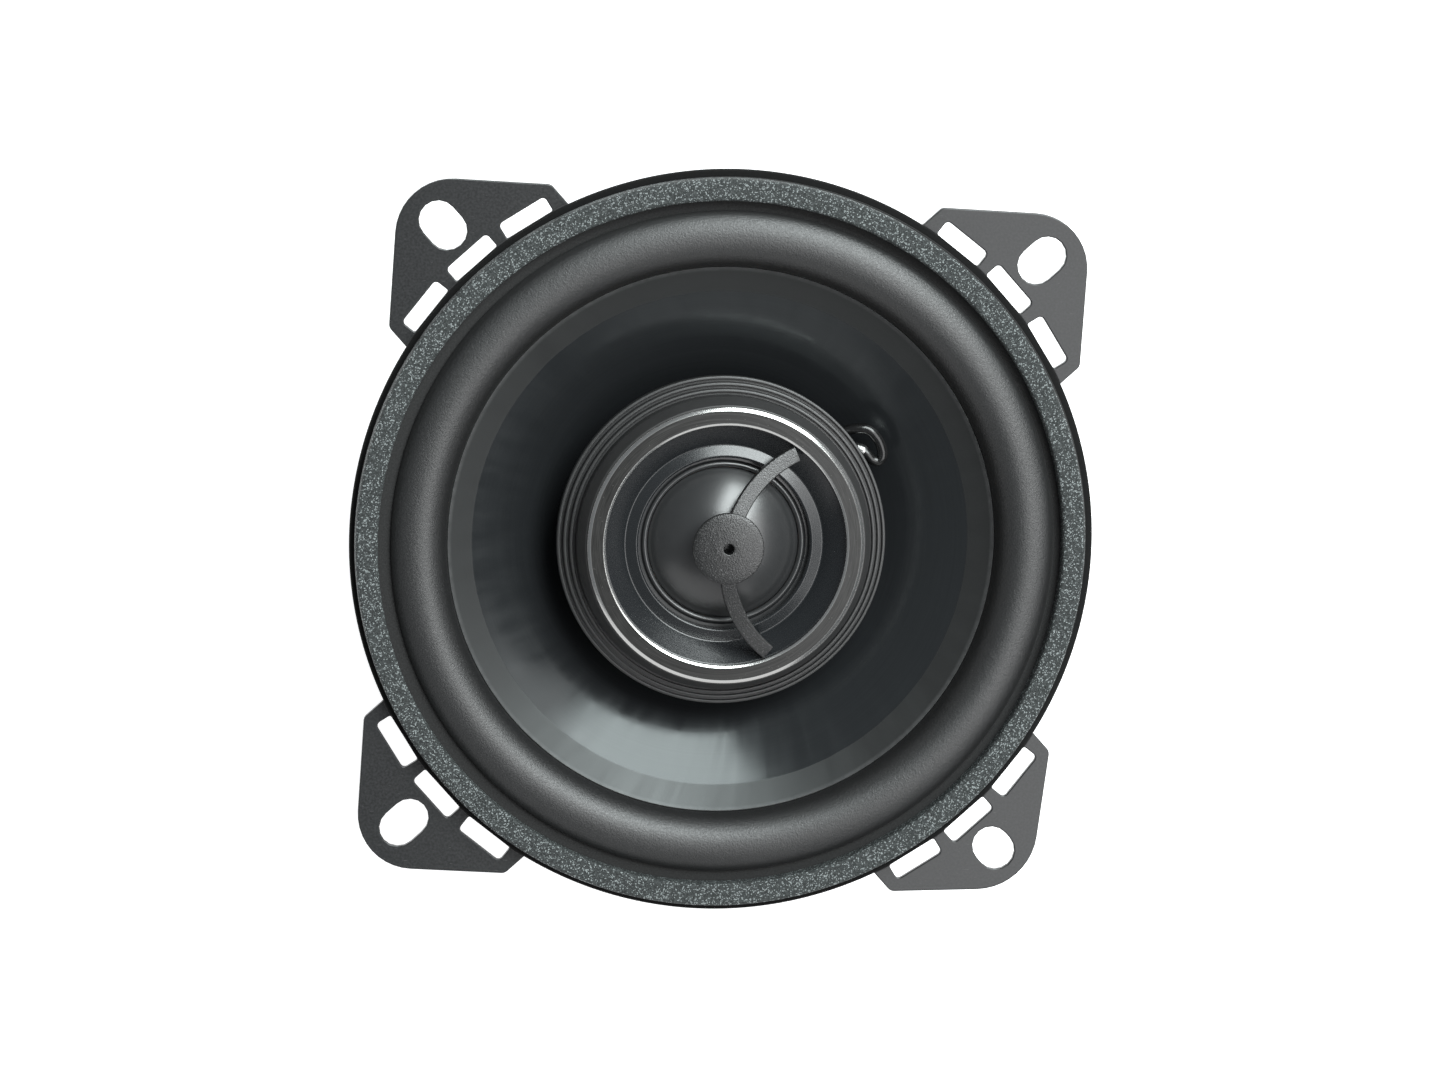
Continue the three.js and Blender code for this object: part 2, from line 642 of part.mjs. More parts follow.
function capacitor() {
  const { radius, length } = CAPACITOR;
  const half = length / 2;
  return turned([
    [0, -half], [radius - 0.4, -half], [radius, -half + 0.4], [radius, half - 2.2],
    [radius - 0.35, half - 1.9], [radius, half - 1.6], [radius, half - 0.4],
    [radius - 0.4, half], [0, half],
  ], 20).rotateX(-Math.PI / 2);
}

add('crossover_capacitor', capacitor(), material(0x2a3550, 0.35, 0), crossover);

// The capacitor's wire to the positive terminal.
function capacitorLead() {
  const { azimuth, distance, height, length } = CAPACITOR;
  const onBoard = (x, y, z) => new THREE.Vector3(x, y, z).applyMatrix4(spokeFrame()).toArray();
  const angle = THREE.MathUtils.degToRad(azimuth);
  const along = (run) => [
    distance * Math.cos(angle) - run * Math.sin(angle),
    distance * Math.sin(angle) + run * Math.cos(angle),
    height,
  ];
  const [exit, bend] = [along(length / 2 + CLEARANCE), along(length / 2 + 2.5)];
  const turnIn = onBoard(-1.5, TERMINAL_OFFSET + 4.8, TAB_FOOT + 3.6);
  const joint = onBoard(0.8, TERMINAL_OFFSET + 1, TAB_FOOT + 2.6);
  return wire([exit, bend, turnIn, joint], 0.35, 12, 6);
}

add('capacitor_lead', capacitorLead(), material(0xb8b8ba, 0.3, 0.9));

export default speaker;
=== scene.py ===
# The looks of a 4-inch coaxial car speaker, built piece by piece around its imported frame.
# Lengths are in millimetres until a mesh is made. +Z points out of the cone.

import math

import bpy
from mathutils import Matrix, Vector


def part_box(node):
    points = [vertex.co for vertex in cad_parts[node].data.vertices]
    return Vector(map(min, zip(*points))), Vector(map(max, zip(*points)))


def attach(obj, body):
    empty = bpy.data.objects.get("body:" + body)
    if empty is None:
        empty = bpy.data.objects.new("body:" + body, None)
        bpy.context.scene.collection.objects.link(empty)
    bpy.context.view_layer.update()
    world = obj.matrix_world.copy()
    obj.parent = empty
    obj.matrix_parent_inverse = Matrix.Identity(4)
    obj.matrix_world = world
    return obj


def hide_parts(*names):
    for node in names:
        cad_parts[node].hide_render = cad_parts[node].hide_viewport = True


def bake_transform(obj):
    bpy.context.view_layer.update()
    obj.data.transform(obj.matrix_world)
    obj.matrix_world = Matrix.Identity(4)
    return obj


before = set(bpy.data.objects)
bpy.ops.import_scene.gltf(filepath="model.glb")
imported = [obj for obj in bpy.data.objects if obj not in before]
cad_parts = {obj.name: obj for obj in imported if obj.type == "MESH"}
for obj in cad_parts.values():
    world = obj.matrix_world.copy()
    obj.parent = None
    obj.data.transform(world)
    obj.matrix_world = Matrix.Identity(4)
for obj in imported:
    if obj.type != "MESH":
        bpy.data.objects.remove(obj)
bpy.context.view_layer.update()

MM = 0.001

# ---- Levels and radii taken from the frame --------------------------------------------------


def bottom(node):
    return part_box(node)[0].z / MM


def top(node):
    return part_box(node)[1].z / MM


def radius(node):
    low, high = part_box(node)
    return (high.x - low.x) / 2 / MM


FLANGE_TOP = top("basket")
FLANGE_RADIUS = 51.0
FLOOR_TOP = top("top_plate")
PLATE_TOP = bottom("magnet")
MAGNET_TOP = top("magnet")
MAGNET_RADIUS = radius("magnet")
PLATE_RADIUS = radius("top_plate")
COIL_RADIUS = radius("voice_coil_former")
GASKET_TOP = top("gasket")
GASKET_CENTRE = sum(c.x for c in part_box("gasket")) / 2 / MM
CONE_RIM = (radius("cone"), top("cone"))
POD_FLOOR = bottom("tweeter_base")
POD_RADIUS = radius("tweeter_housing")
TRIM_BASE = bottom("trim_ring")
DOME_EDGE = bottom("dome_suspension")
PLUG_TOP = top("phase_plug")

# ---- Dimensions of the visible detail -------------------------------------------------------

SEGMENTS = 192
SHEET = 1.0
EAR_STEP = 0.3
EAR_AZIMUTHS = (45, 135, 225, 315)
EAR_HALF_WIDTH = 14.6
EAR_SHOULDER = 52.4
EAR = {"half_angle": 45, "fillet": 7.7, "slot_radius": 57.95, "slot_length": 7.2}
BLUNT_EAR = {"half_angle": 49, "fillet": 8.4, "slot_radius": 57.4, "slot_length": 6.2}
SLOT_WIDTH = 5.2
BREAK_SLOT = {"radius": 52.07, "length": 7.2, "width": 2.3, "pitch": 10}
WINDOW = {"inner": 33.5, "outer": 42.0, "corner": 2.0}
SPOKE_HALF_WIDTH = 6.5
SHELF_TOP = 27.0
SPOKE_FOOT = (31.4, 29.5)
SPOKE_HEAD = (44.0, 38.5)
RIVET_CIRCLE = 21.0
CREASE = (34.1, 41.1)
NECK = (12.95, 29.3)
CONE_CURVE = 0.14
ROLL = {
    "radius": 41.55, "half": 3.95, "height": 43.275, "tilt": 1.225, "crown": 3.3, "skew": 0.46}
GASKET_RING = (46.9, 49.95)
SCREW_RADIUS = 1.9
TWEETER_FLOOR = 37.5
MOTOR_TOP = 42.2
TRIM = (16.5, 18.95)
DISH_RADIUS = 18.0
POD_BORE = 21.5
RIBS = {"count": 3, "height": 42.1, "step": 0.8, "rise": 0.75, "width": 0.45, "groove": 0.4}
SHOULDER = {"radius": 20.15, "height": 45.0, "lip": 19.15}
DOME = {"radius": 10.3, "rise": 4.1, "sheet": 0.3}
PLUG = {"radius": 4.87, "hole": 0.72, "thickness": 1.2, "crown": 0.4, "turn": -4.2}
ARM = {"bend": 16.0, "width": 2.1, "reach": 15.8, "drop": 2.65, "thickness": 1.0}
TERMINAL_AZIMUTH = 315
TERMINAL_OFFSET = 10.0
BOARD = {"width": 13.0, "length": 30.0, "back": 0.3, "face": 1.9}
CAPACITOR = {"azimuth": 285, "radius": 4.0, "length": 12.5, "distance": 36.7, "height": 20.4}

# ---- Camera, floor and light ----------------------------------------------------------------


def direction(azimuth, elevation):
    a, e = math.radians(azimuth), math.radians(elevation)
    return Vector((math.cos(a) * math.cos(e), math.sin(a) * math.cos(e), math.sin(e)))


def make_camera():
    """A long lens almost straight above the cone, leaning to the upper left."""
    lean, tilt, roll, distance = 132.4, 10.99, -4.10, 918.0
    aside, above = -0.57, 0.43
    back = direction(lean, 90 - tilt)
    flat_right = Vector((0, 1, 0)).cross(back).normalized()
    flat_up = back.cross(flat_right)
    turn = math.radians(roll)
    right = flat_right * math.cos(turn) - flat_up * math.sin(turn)
    up = flat_right * math.sin(turn) + flat_up * math.cos(turn)
    place = Vector((0, 0, FLANGE_TOP)) + back * distance + right * aside + up * above
    data = bpy.data.cameras.new("camera")
    data.sensor_width = 36
    data.lens = 168.66
    data.clip_start = 0.05
    data.clip_end = 20
    camera = bpy.data.objects.new("camera", data)
    bpy.context.scene.collection.objects.link(camera)
    basis = Matrix((right, up, back)).transposed().to_4x4()
    camera.matrix_world = Matrix.Translation(place * MM) @ basis
    bpy.context.scene.camera = camera


def softbox(name, azimuth, elevation, distance, size, radiance, tint=(1, 1, 1)):
    """A square area light that faces the speaker, as bright as its radiance says."""
    data = bpy.data.lights.new(name, "AREA")
    data.shape = "RECTANGLE"
    data.size, data.size_y = size
    data.energy = radiance * size[0] * size[1] * math.pi
    data.color = tint
    light = bpy.data.objects.new(name, data)
    bpy.context.scene.collection.objects.link(light)
    away = direction(azimuth, elevation)
    light.location = away * distance + Vector((0, 0, FLANGE_TOP * MM))
    light.rotation_mode = "QUATERNION"
    light.rotation_quaternion = away.to_track_quat("Z", "Y")
    light.visible_camera = False


LIGHTS = [
    ("key_light", 63, 48, 0.9, (0.52, 0.6), 9.8, (0.93, 1.0, 1.0)),
    ("top_light", 0, 63.5, 0.61, (0.6, 0.42), 2.6),
    ("fill_light", 262, 28, 0.9, (1.5, 0.5), 0.6),
]


def make_world():
    """Dim above and white round the horizon, like a studio with a white sweep."""
    world = bpy.data.worlds.new("studio")
    world.use_nodes = True
    nodes, links = world.node_tree.nodes, world.node_tree.links
    background = nodes["Background"]
    coords = nodes.new("ShaderNodeTexCoord")
    split = nodes.new("ShaderNodeSeparateXYZ")
    ramp = nodes.new("ShaderNodeValToRGB")
    links.new(coords.outputs["Generated"], split.inputs[0])
    links.new(split.outputs["Z"], ramp.inputs["Fac"])
    links.new(ramp.outputs["Color"], background.inputs["Color"])
    horizon, sky = ramp.color_ramp.elements
    horizon.position, sky.position = 0.15, 0.24
    horizon.color = (1, 1, 1, 1)
    sky.color = (0.08, 0.085, 0.09, 1)
    overhead = ramp.color_ramp.elements.new(0.85)
    overhead.color = (0.20, 0.21, 0.22, 1)
    bpy.context.scene.world = world


def make_floor():
    size = 6.0
    mesh = bpy.data.meshes.new("floor")
    corners = [(-size, -size, 0), (size, -size, 0), (size, size, 0), (-size, size, 0)]
    mesh.from_pydata(corners, [], [(0, 1, 2, 3)])
    floor = bpy.data.objects.new("floor", mesh)
    bpy.context.scene.collection.objects.link(floor)
    paint = bpy.data.materials.new("white_sweep")
    paint.use_nodes = True
    shader = paint.node_tree.nodes["Principled BSDF"]
    shader.inputs["Base Color"].default_value = (0.8, 0.8, 0.8, 1)
    shader.inputs["Roughness"].default_value = 0.9
    shader.inputs["Specular IOR Level"].default_value = 0
    shader.inputs["Emission Color"].default_value = (1, 1, 1, 1)
    shader.inputs["Emission Strength"].default_value = 0.85
    mesh.materials.append(paint)


make_camera()
make_floor()
make_world()
for light in LIGHTS:
    softbox(*light)
bpy.context.scene.view_settings.view_transform = "Standard"

# ---- Outlines -------------------------------------------------------------------------------


def rounded(corners, steps=4, closed=True):
    """A line through (x, y) corners, with an arc at each corner that is (x, y, fillet)."""
    points = []
    for i, corner in enumerate(corners):
        here = Vector(corner[:2])
        inner = closed or 0 < i < len(corners) - 1
        if len(corner) < 3 or not inner:
            points.append(tuple(here))
            continue
        behind = (Vector(corners[i - 1][:2]) - here).normalized()
        ahead = (Vector(corners[(i + 1) % len(corners)][:2]) - here).normalized()
        half = behind.angle(ahead) / 2
        middle = here + (behind + ahead).normalized() * (corner[2] / math.sin(half))
        start = here + behind * (corner[2] / math.tan(half)) - middle
        end = here + ahead * (corner[2] / math.tan(half)) - middle
        sweep = math.atan2(start.x * end.y - start.y * end.x, start.dot(end))
        for k in range(steps + 1):
            spoke = start.copy()
            spoke.rotate(Matrix.Rotation(sweep * k / steps, 2))
            points.append(tuple(middle + spoke))
    return points


def offset(points, distance, closed=True):
    """The line moved sideways, to the right of its direction of travel."""
    moved, count = [], len(points)
    for i, point in enumerate(points):
        sides = []
        for a, b in ((i - 1, i), (i, i + 1)):
            if not closed and (a < 0 or b >= count):
                continue
            along = Vector(points[b % count]) - Vector(points[a % count])
            sides.append(Vector((along.y, -along.x)).normalized())
        side = sides[0] + sides[-1]
        reach = distance * 2 / side.length_squared
        moved.append(tuple(Vector(point) + side * reach))
    return moved


def sheet(path, thickness, edge=0.1):
    """The outline of a sheet whose front face follows the path from the axis outwards."""
    back = offset(path, thickness, closed=False)[::-1]
    front = [(*path[0], edge), *path[1:-1], (*path[-1], edge)]
    return rounded([*front, (*back[0], edge), *back[1:-1], (*back[-1], edge)])


def arc(size, start, end, steps, centre=(0.0, 0.0)):
    points = []
    for k in range(steps + 1):
        angle = math.radians(start + (end - start) * k / steps)
        points.append((centre[0] + size * math.cos(angle), centre[1] + size * math.sin(angle)))
    return points


def box_loop(x, y, fillets):
    """A rectangle round the origin, with a fillet at each corner from (-x, -y) round."""
    corners = [(-x, -y), (x, -y), (x, y), (-x, y)]
    return rounded([(*c, f) for c, f in zip(corners, fillets)])


def area_sign(points):
    total = sum(a[0] * b[1] - a[1] * b[0] for a, b in zip(points, [*points[1:], points[0]]))
    return 1 if total > 0 else -1


# ---- Meshes ---------------------------------------------------------------------------------


def solid(name, verts, faces):
    mesh = bpy.data.meshes.new(name)
    mesh.from_pydata([Vector(v) * MM for v in verts], [], faces)
    made = bpy.data.objects.new(name, mesh)
    bpy.context.scene.collection.objects.link(made)
    return made


def lathe(name, outline, centre=(0.0, 0.0), segments=SEGMENTS):
    """Turns an outline of (radius, height) about +Z. One that starts on the axis is solid."""
    if area_sign(outline) < 0:
        outline = outline[::-1]
    verts, rings = [], []
    for size, height in outline:
        count = segments if size > 1e-6 else 1
        rings.append([len(verts) + k % count for k in range(segments)])
        for k in range(count):
            angle = 2 * math.pi * k / segments
            x, y = size * math.cos(angle), size * math.sin(angle)
            verts.append((centre[0] + x, centre[1] + y, height))
    pairs = list(zip(rings, rings[1:]))
    if outline[0][0] > 1e-6:
        pairs.append((rings[-1], rings[0]))
    faces = []
    for lower, upper in pairs:
        for k in range(segments):
            n = (k + 1) % segments
            corners = dict.fromkeys((lower[k], lower[n], upper[n], upper[k]))
            if len(corners) > 2:
                faces.append(list(corners))
    return solid(name, verts, faces)


def loft(name, loops):
    """A closed body through loops of equally many points, each capped at its two ends."""
    count = len(loops[0])
    verts = [point for loop in loops for point in loop]
    faces = [list(range(count))[::-1]]
    for level in range(len(loops) - 1):
        for k in range(count):
            a, b = level * count + k, level * count + (k + 1) % count
            faces.append([a, b, b + count, a + count])
    faces.append([len(verts) - count + k for k in range(count)])
    return solid(name, verts, faces)


def plate(name, outline, low, high, edge=0.15, steps=3):
    """A plate between two heights. A positive edge rounds its rims, a negative one flares them."""
    if area_sign(outline) < 0:
        outline = outline[::-1]
    size = abs(edge)
    rims = []
    for k in range(steps + 1):
        turn = math.radians(90 * k / steps)
        inset = size * (1 - math.sin(turn))
        rims.append((-inset if edge > 0 else inset, size * (1 - math.cos(turn))))
    loops = [[(x, y, low + rise) for x, y in offset(outline, out)] for out, rise in rims]
    loops += [[(x, y, high - rise) for x, y in offset(outline, out)] for out, rise in rims[::-1]]
    return loft(name, loops)


def smooth_path(points, steps=8):
    """A Catmull-Rom curve through the points."""
    spots = [Vector(p) for p in points]
    spots = [spots[0] * 2 - spots[1], *spots, spots[-1] * 2 - spots[-2]]
    path = []
    for a, b, c, d in zip(spots, spots[1:], spots[2:], spots[3:]):
        for k in range(steps):
            t = k / steps
            bend = (a * 2 - b * 5 + c * 4 - d) * t * t + (b * 3 - a - c * 3 + d) * t ** 3
            path.append((b * 2 + (c - a) * t + bend) / 2)
    return [*path, spots[-2]]


def wire(name, points, size, sides=16):
    """A round wire along a smooth path, with rounded ends."""
    path = smooth_path(points)
    last = len(path) - 1
    loops = []
    across = Vector((0.3, 0.5, 0.8))
    for i, here in enumerate(path):
        along = (path[min(i + 1, last)] - path[max(i - 1, 0)]).normalized()
        across = (across - along * across.dot(along)).normalized()
        other = along.cross(across)
        rims = [(0.0, 1.0)]
        if i == 0:
            rims = [(-0.9, 0.35), (-0.6, 0.8), (0.0, 1.0)]
        if i == last:
            rims = [(0.0, 1.0), (0.6, 0.8), (0.9, 0.35)]
        for push, share in rims:
            ring = [math.radians(360 * k / sides) for k in range(sides)]
            centre = here + along * (push * size)
            loops.append([
                centre + (across * math.cos(t) + other * math.sin(t)) * (size * share)
                for t in ring])
    return loft(name, loops)


def moved(made, matrix):
    made.data.transform(matrix)
    return made


def turned(made, azimuth):
    return moved(made, Matrix.Rotation(math.radians(azimuth), 4, "Z"))


def shifted(made, distance):
    return moved(made, Matrix.Translation(Vector((distance, 0, 0)) * MM))


def carve(body, operation, tools):
    """Joins the tools to the body, or cuts them out of it, and removes the tools."""
    group = bpy.data.collections.new("tools")
    for tool in tools:
        group.objects.link(tool)
    change = body.modifiers.new("carve", "BOOLEAN")
    change.operation = operation
    change.solver = "EXACT"
    change.operand_type = "COLLECTION"
    change.collection = group
    graph = bpy.context.evaluated_depsgraph_get()
    mesh = bpy.data.meshes.new_from_object(body.evaluated_get(graph))
    body.modifiers.clear()
    body.data = mesh
    for tool in tools:
        bpy.data.objects.remove(tool)
    bpy.data.collections.remove(group)


def polar(distance, azimuth, height=0.0):
    angle = math.radians(azimuth)
    return (distance * math.cos(angle), distance * math.sin(angle), height)


# ---- Finishes -------------------------------------------------------------------------------


class Finish:
    """A procedural material on one shader, with its pattern laid out in millimetres."""

    def __init__(self, name, metallic=0.0, specular=0.5, coat=0.0, coat_roughness=0.1):
        self.material = bpy.data.materials.new(name)
        self.material.use_nodes = True
        self.tree = self.material.node_tree
        self.shader = self.tree.nodes["Principled BSDF"]
        self.shader.inputs["Metallic"].default_value = metallic
        self.shader.inputs["Specular IOR Level"].default_value = specular
        self.shader.inputs["Coat Weight"].default_value = coat
        self.shader.inputs["Coat Roughness"].default_value = coat_roughness
        coords = self.node("ShaderNodeTexCoord")
        self.place = self.vector("SCALE", coords.outputs["Object"], scale=1 / MM)
        self.height = None

    def node(self, kind, inputs=None, **settings):
        made = self.tree.nodes.new(kind)
        for key, value in settings.items():
            setattr(made, key, value)
        for key, value in (inputs or {}).items():
            self.feed(made.inputs[key], value)
        return made

    def feed(self, socket, value):
        if isinstance(value, bpy.types.NodeSocket):
            self.tree.links.new(value, socket)
        else:
            socket.default_value = value

    def vector(self, operation, value, other=(0, 0, 0), scale=1.0):
        inputs = {0: value, 1: other} if operation != "SCALE" else {0: value, "Scale": scale}
        made = self.node("ShaderNodeVectorMath", inputs, operation=operation)
        return made.outputs["Value" if operation == "LENGTH" else "Vector"]

    def math(self, operation, a, b=0.0):
        made = self.node("ShaderNodeMath", {0: a, 1: b}, operation=operation)
        return made.outputs[0]

    def noise(self, scale, detail=3.0, where=None, roughness=0.5):
        inputs = {"Vector": where or self.place, "Scale": scale, "Detail": detail}
        inputs["Roughness"] = roughness
        return self.node("ShaderNodeTexNoise", inputs).outputs["Fac"]

    def cells(self, scale, output="Distance"):
        inputs = {"Vector": self.place, "Scale": scale}
        return self.node("ShaderNodeTexVoronoi", inputs).outputs[output]

    def steps(self, value, low, high, start=0.0, end=1.0):
        """Start where the value is at most low, end where it is at least high."""
        inputs = {"Value": value, "From Min": low, "From Max": high}
        inputs.update({"To Min": start, "To Max": end})
        return self.node("ShaderNodeMapRange", inputs).outputs[0]

    def mix(self, share, a, b):
        made = self.node("ShaderNodeMix", data_type="RGBA")
        for index, value in ((0, share), (6, a), (7, b)):
            if isinstance(value, tuple):
                value = (*value, 1.0)
            self.feed(made.inputs[index], value)
        return made.outputs[2]

    def axes(self):
        return self.node("ShaderNodeSeparateXYZ", {0: self.place}).outputs

    def around(self):
        """The distance from the speaker's axis, in millimetres."""
        x, y, _ = self.axes()
        flat = self.node("ShaderNodeCombineXYZ", {0: x, 1: y}).outputs[0]
        return self.vector("LENGTH", flat)

    def wrapped(self, across, along, up):
        """Coordinates that run round the axis, with a scale for each of radius, arc and height."""
        x, y, z = self.axes()
        flat = self.node("ShaderNodeCombineXYZ", {0: x, 1: y}).outputs[0]
        round_trip = self.vector("SCALE", self.vector("NORMALIZE", flat), scale=along)
        lift = self.node("ShaderNodeCombineXYZ", {
            0: self.math("MULTIPLY", self.around(), across),
            2: self.math("MULTIPLY", z, up)}).outputs[0]
        return self.vector("ADD", round_trip, lift)

    def bump(self, height, depth, strength=1.0):
        """Adds relief: height runs from 0 to 1 over a depth in millimetres."""
        inputs = {"Height": height, "Distance": depth * MM, "Strength": strength}
        if self.height:
            inputs["Normal"] = self.height
        self.height = self.node("ShaderNodeBump", inputs).outputs[0]

    def done(self, color, roughness):
        self.feed(self.shader.inputs["Base Color"], color)
        self.feed(self.shader.inputs["Roughness"], roughness)
        if self.height:
            self.feed(self.shader.inputs["Normal"], self.height)
        return self.material


def grey(level, warmth=0.0):
    return (level * (1 + warmth), level, level * (1 - warmth))


def powder_coat():
    """Satin grey, with a matte near-black band painted on the flange outside the gasket as painted
    shade.
    """
    f = Finish("powder_coat")
    # The flange mask below picks the rim outside the gasket, where near-black is painted as painted
    # shade.
    inside = f.steps(f.around(), FLANGE_RADIUS + 0.15, FLANGE_RADIUS - 0.05)
    raised = f.steps(f.axes()[2], FLANGE_TOP - 1.1, FLANGE_TOP - 0.85)
    flange = f.math("MULTIPLY", inside, raised)
    grain = f.noise(3.0, 2.0)
    patches = f.noise(0.12, 4.0)
    lines = f.noise(0.8, 6.0, f.vector("MULTIPLY", f.place, (1.0, 9.0, 1.0)))
    scratches = f.steps(lines, 0.68, 0.73)
    coat = f.mix(patches, grey(0.020, -0.03), grey(0.027, -0.03))
    coat = f.mix(f.steps(grain, 0.35, 0.65), coat, grey(0.032, -0.03))
    coat = f.mix(f.math("MULTIPLY", scratches, 0.5), coat, grey(0.12))
    # Painted shade: the flange rim outside the gasket is painted near-black.
    color = f.mix(flange, coat, grey(0.002))
    f.bump(f.noise(2.2, 2.0), 0.02, 0.2)
    f.bump(f.noise(0.35, 1.0), 0.1, 0.1)
    rough = f.steps(grain, 0.2, 0.8, 0.17, 0.26)
    return f.done(color, f.math("ADD", rough, f.math("MULTIPLY", flange, 0.75)))


def zinc_steel():
    f = Finish("zinc_steel", metallic=0.9)
    stain = f.noise(0.15, 5.0)
    rings = f.noise(2.5, 3.0, f.wrapped(6.0, 3.0, 2.0))
    color = f.mix(stain, (0.36, 0.355, 0.335), (0.48, 0.48, 0.465))
    color = f.mix(f.steps(f.noise(1.4, 6.0), 0.62, 0.75), color, (0.27, 0.255, 0.23))
    f.bump(rings, 0.02, 0.4)
    f.bump(f.noise(1.2, 4.0), 0.05, 0.15)
    return f.done(color, f.steps(f.math("ADD", rings, stain), 0.6, 1.4, 0.26, 0.5))


def ferrite():
    f = Finish("ferrite")
    grain = f.cells(4.0)
    chips = f.steps(f.noise(0.9, 7.0), 0.64, 0.7)
    color = f.mix(f.noise(0.25, 5.0), grey(0.022, 0.02), grey(0.042, 0.03))
    color = f.mix(chips, color, grey(0.075))
    f.bump(grain, 0.04, 0.5)
    f.bump(f.noise(0.9, 7.0), 0.15, 0.4)
    return f.done(color, f.steps(grain, 0.1, 0.6, 0.55, 0.8))


def gasket_composite():
    """A pressed ring of grey grains. The palest are painted bright as painted sparkle, and are
    glossier, so they also glint where one faces the light.
    """
    f = Finish("gasket_composite")
    grains = f.cells(7.0, output="Color")
    light = f.node("ShaderNodeSeparateXYZ", {0: grains}).outputs[0]
    clumps = f.noise(2.4, 4.0, roughness=0.7)
    # Painted sparkle: the palest grains get a bright colour of their own.
    painted_sparkle = f.steps(light, 0.84, 0.90)
    color = f.mix(f.steps(clumps, 0.35, 0.65), (0.024, 0.028, 0.028), (0.060, 0.069, 0.069))
    color = f.mix(f.steps(light, 0.0, 0.5), (0.014, 0.017, 0.017), color)
    color = f.mix(painted_sparkle, color, (0.28, 0.31, 0.31))
    f.bump(f.noise(4.4, 3.0, roughness=0.7), 0.16, 0.9)
    f.bump(f.cells(7.0), 0.06, 0.7)
    return f.done(color, f.steps(light, 0.7, 1.0, 0.7, 0.4))


def surround_rubber():
    """Black rubber with a fine grain; the flat lip outside the roll is duller and painted near-black
    as painted shade beside the gasket.
    """
    f = Finish("surround_rubber", specular=1.0)
    grain = f.noise(4.0, 3.0, roughness=0.7)
    dust = f.steps(f.cells(2.2), 0.10, 0.04)
    color = f.mix(f.noise(0.1, 4.0), grey(0.010, -0.02), grey(0.014, -0.02))
    color = f.mix(f.math("MULTIPLY", dust, 0.25), color, grey(0.09))
    roll_end = ROLL["radius"] + ROLL["half"]
    # Painted shade: the flat lip outside the roll is painted near-black, as if in the gasket's
    # shadow.
    lip = f.steps(f.around(), roll_end - 0.5, roll_end + 0.1)
    color = f.mix(lip, color, grey(0.003))
    f.bump(f.noise(1.8, 2.0), 0.06, 0.35)
    f.bump(grain, 0.06, 0.8)
    rough = f.steps(grain, 0.3, 0.7, 0.36, 0.54)
    return f.done(color, f.math("ADD", rough, f.math("MULTIPLY", lip, 0.45)))


def cone_sheet():
    """Glossy black film with faint rings and streaks, and a satin rim with a lighter mottled band at
    its outer edge.
    """
    f = Finish("cone_sheet", specular=0.45)
    f.shader.inputs["Specular Tint"].default_value = (0.94, 1.0, 1.0, 1.0)
    distance = f.around()
    rings = f.noise(1.2, 3.0, f.wrapped(4.0, 2.0, 1.0))
    streaks = f.noise(1.0, 3.0, f.wrapped(0.12, 14.0, 0.1))
    rim = f.steps(distance, CREASE[0] - 0.1, CREASE[0] + 0.1)
    # A lighter mottled band is painted just inside the cone's outer edge.
    edge = f.steps(distance, CONE_RIM[0] - 0.6, CONE_RIM[0] - 0.3)
    color = f.mix(rings, grey(0.014, -0.08), grey(0.019, -0.08))
    color = f.mix(rim, color, grey(0.020))
    color = f.mix(f.math("MULTIPLY", edge, f.noise(0.9)), color, grey(0.07))
    dust = f.steps(f.cells(0.08), 0.010, 0.007)
    color = f.mix(dust, color, grey(0.4))
    f.bump(rings, 0.02, 0.12)
    f.bump(f.noise(6.0, 2.0), 0.01, 0.2)
    rough = f.math("ADD", f.steps(streaks, 0.3, 0.7, 0.12, 0.22), f.math("MULTIPLY", rim, 0.18))
    return f.done(color, rough)


def spider_cloth():
    f = Finish("spider_cloth", specular=0.2)
    x, y, _ = f.axes()
    thread_x = f.math("SINE", f.math("MULTIPLY", x, 9.0))
    thread_y = f.math("SINE", f.math("MULTIPLY", y, 9.0))
    weave = f.math("MULTIPLY", thread_x, thread_y)
    color = f.mix(f.steps(weave, -0.6, 0.6), (0.20, 0.13, 0.045), (0.36, 0.26, 0.11))
    color = f.mix(f.noise(0.3, 4.0), color, (0.30, 0.20, 0.07))
    f.bump(f.steps(weave, -1.0, 1.0), 0.12, 0.9)
    return f.done(color, f.steps(f.noise(2.0), 0.2, 0.8, 0.7, 0.95))


def coil_former():
    f = Finish("coil_former", coat=0.4, coat_roughness=0.15)
    color = f.mix(f.noise(0.4, 4.0), (0.28, 0.12, 0.02), (0.42, 0.20, 0.05))
    f.bump(f.noise(1.0, 2.0, f.wrapped(1.0, 2.0, 8.0)), 0.03, 0.4)
    return f.done(color, f.steps(f.noise(0.7), 0.3, 0.7, 0.3, 0.45))


def copper_wire():
    f = Finish("copper_wire", metallic=1.0)
    turns = f.math("SINE", f.math("MULTIPLY", f.axes()[2], 2 * math.pi / 0.25))
    color = f.mix(f.steps(turns, -1.0, 1.0), (0.30, 0.09, 0.03), (0.75, 0.32, 0.14))
    color = f.mix(f.steps(f.noise(1.5), 0.5, 0.8), color, (0.55, 0.2, 0.09))
    f.bump(turns, 0.08, 0.9)
    return f.done(color, f.steps(f.noise(1.0), 0.3, 0.7, 0.22, 0.38))


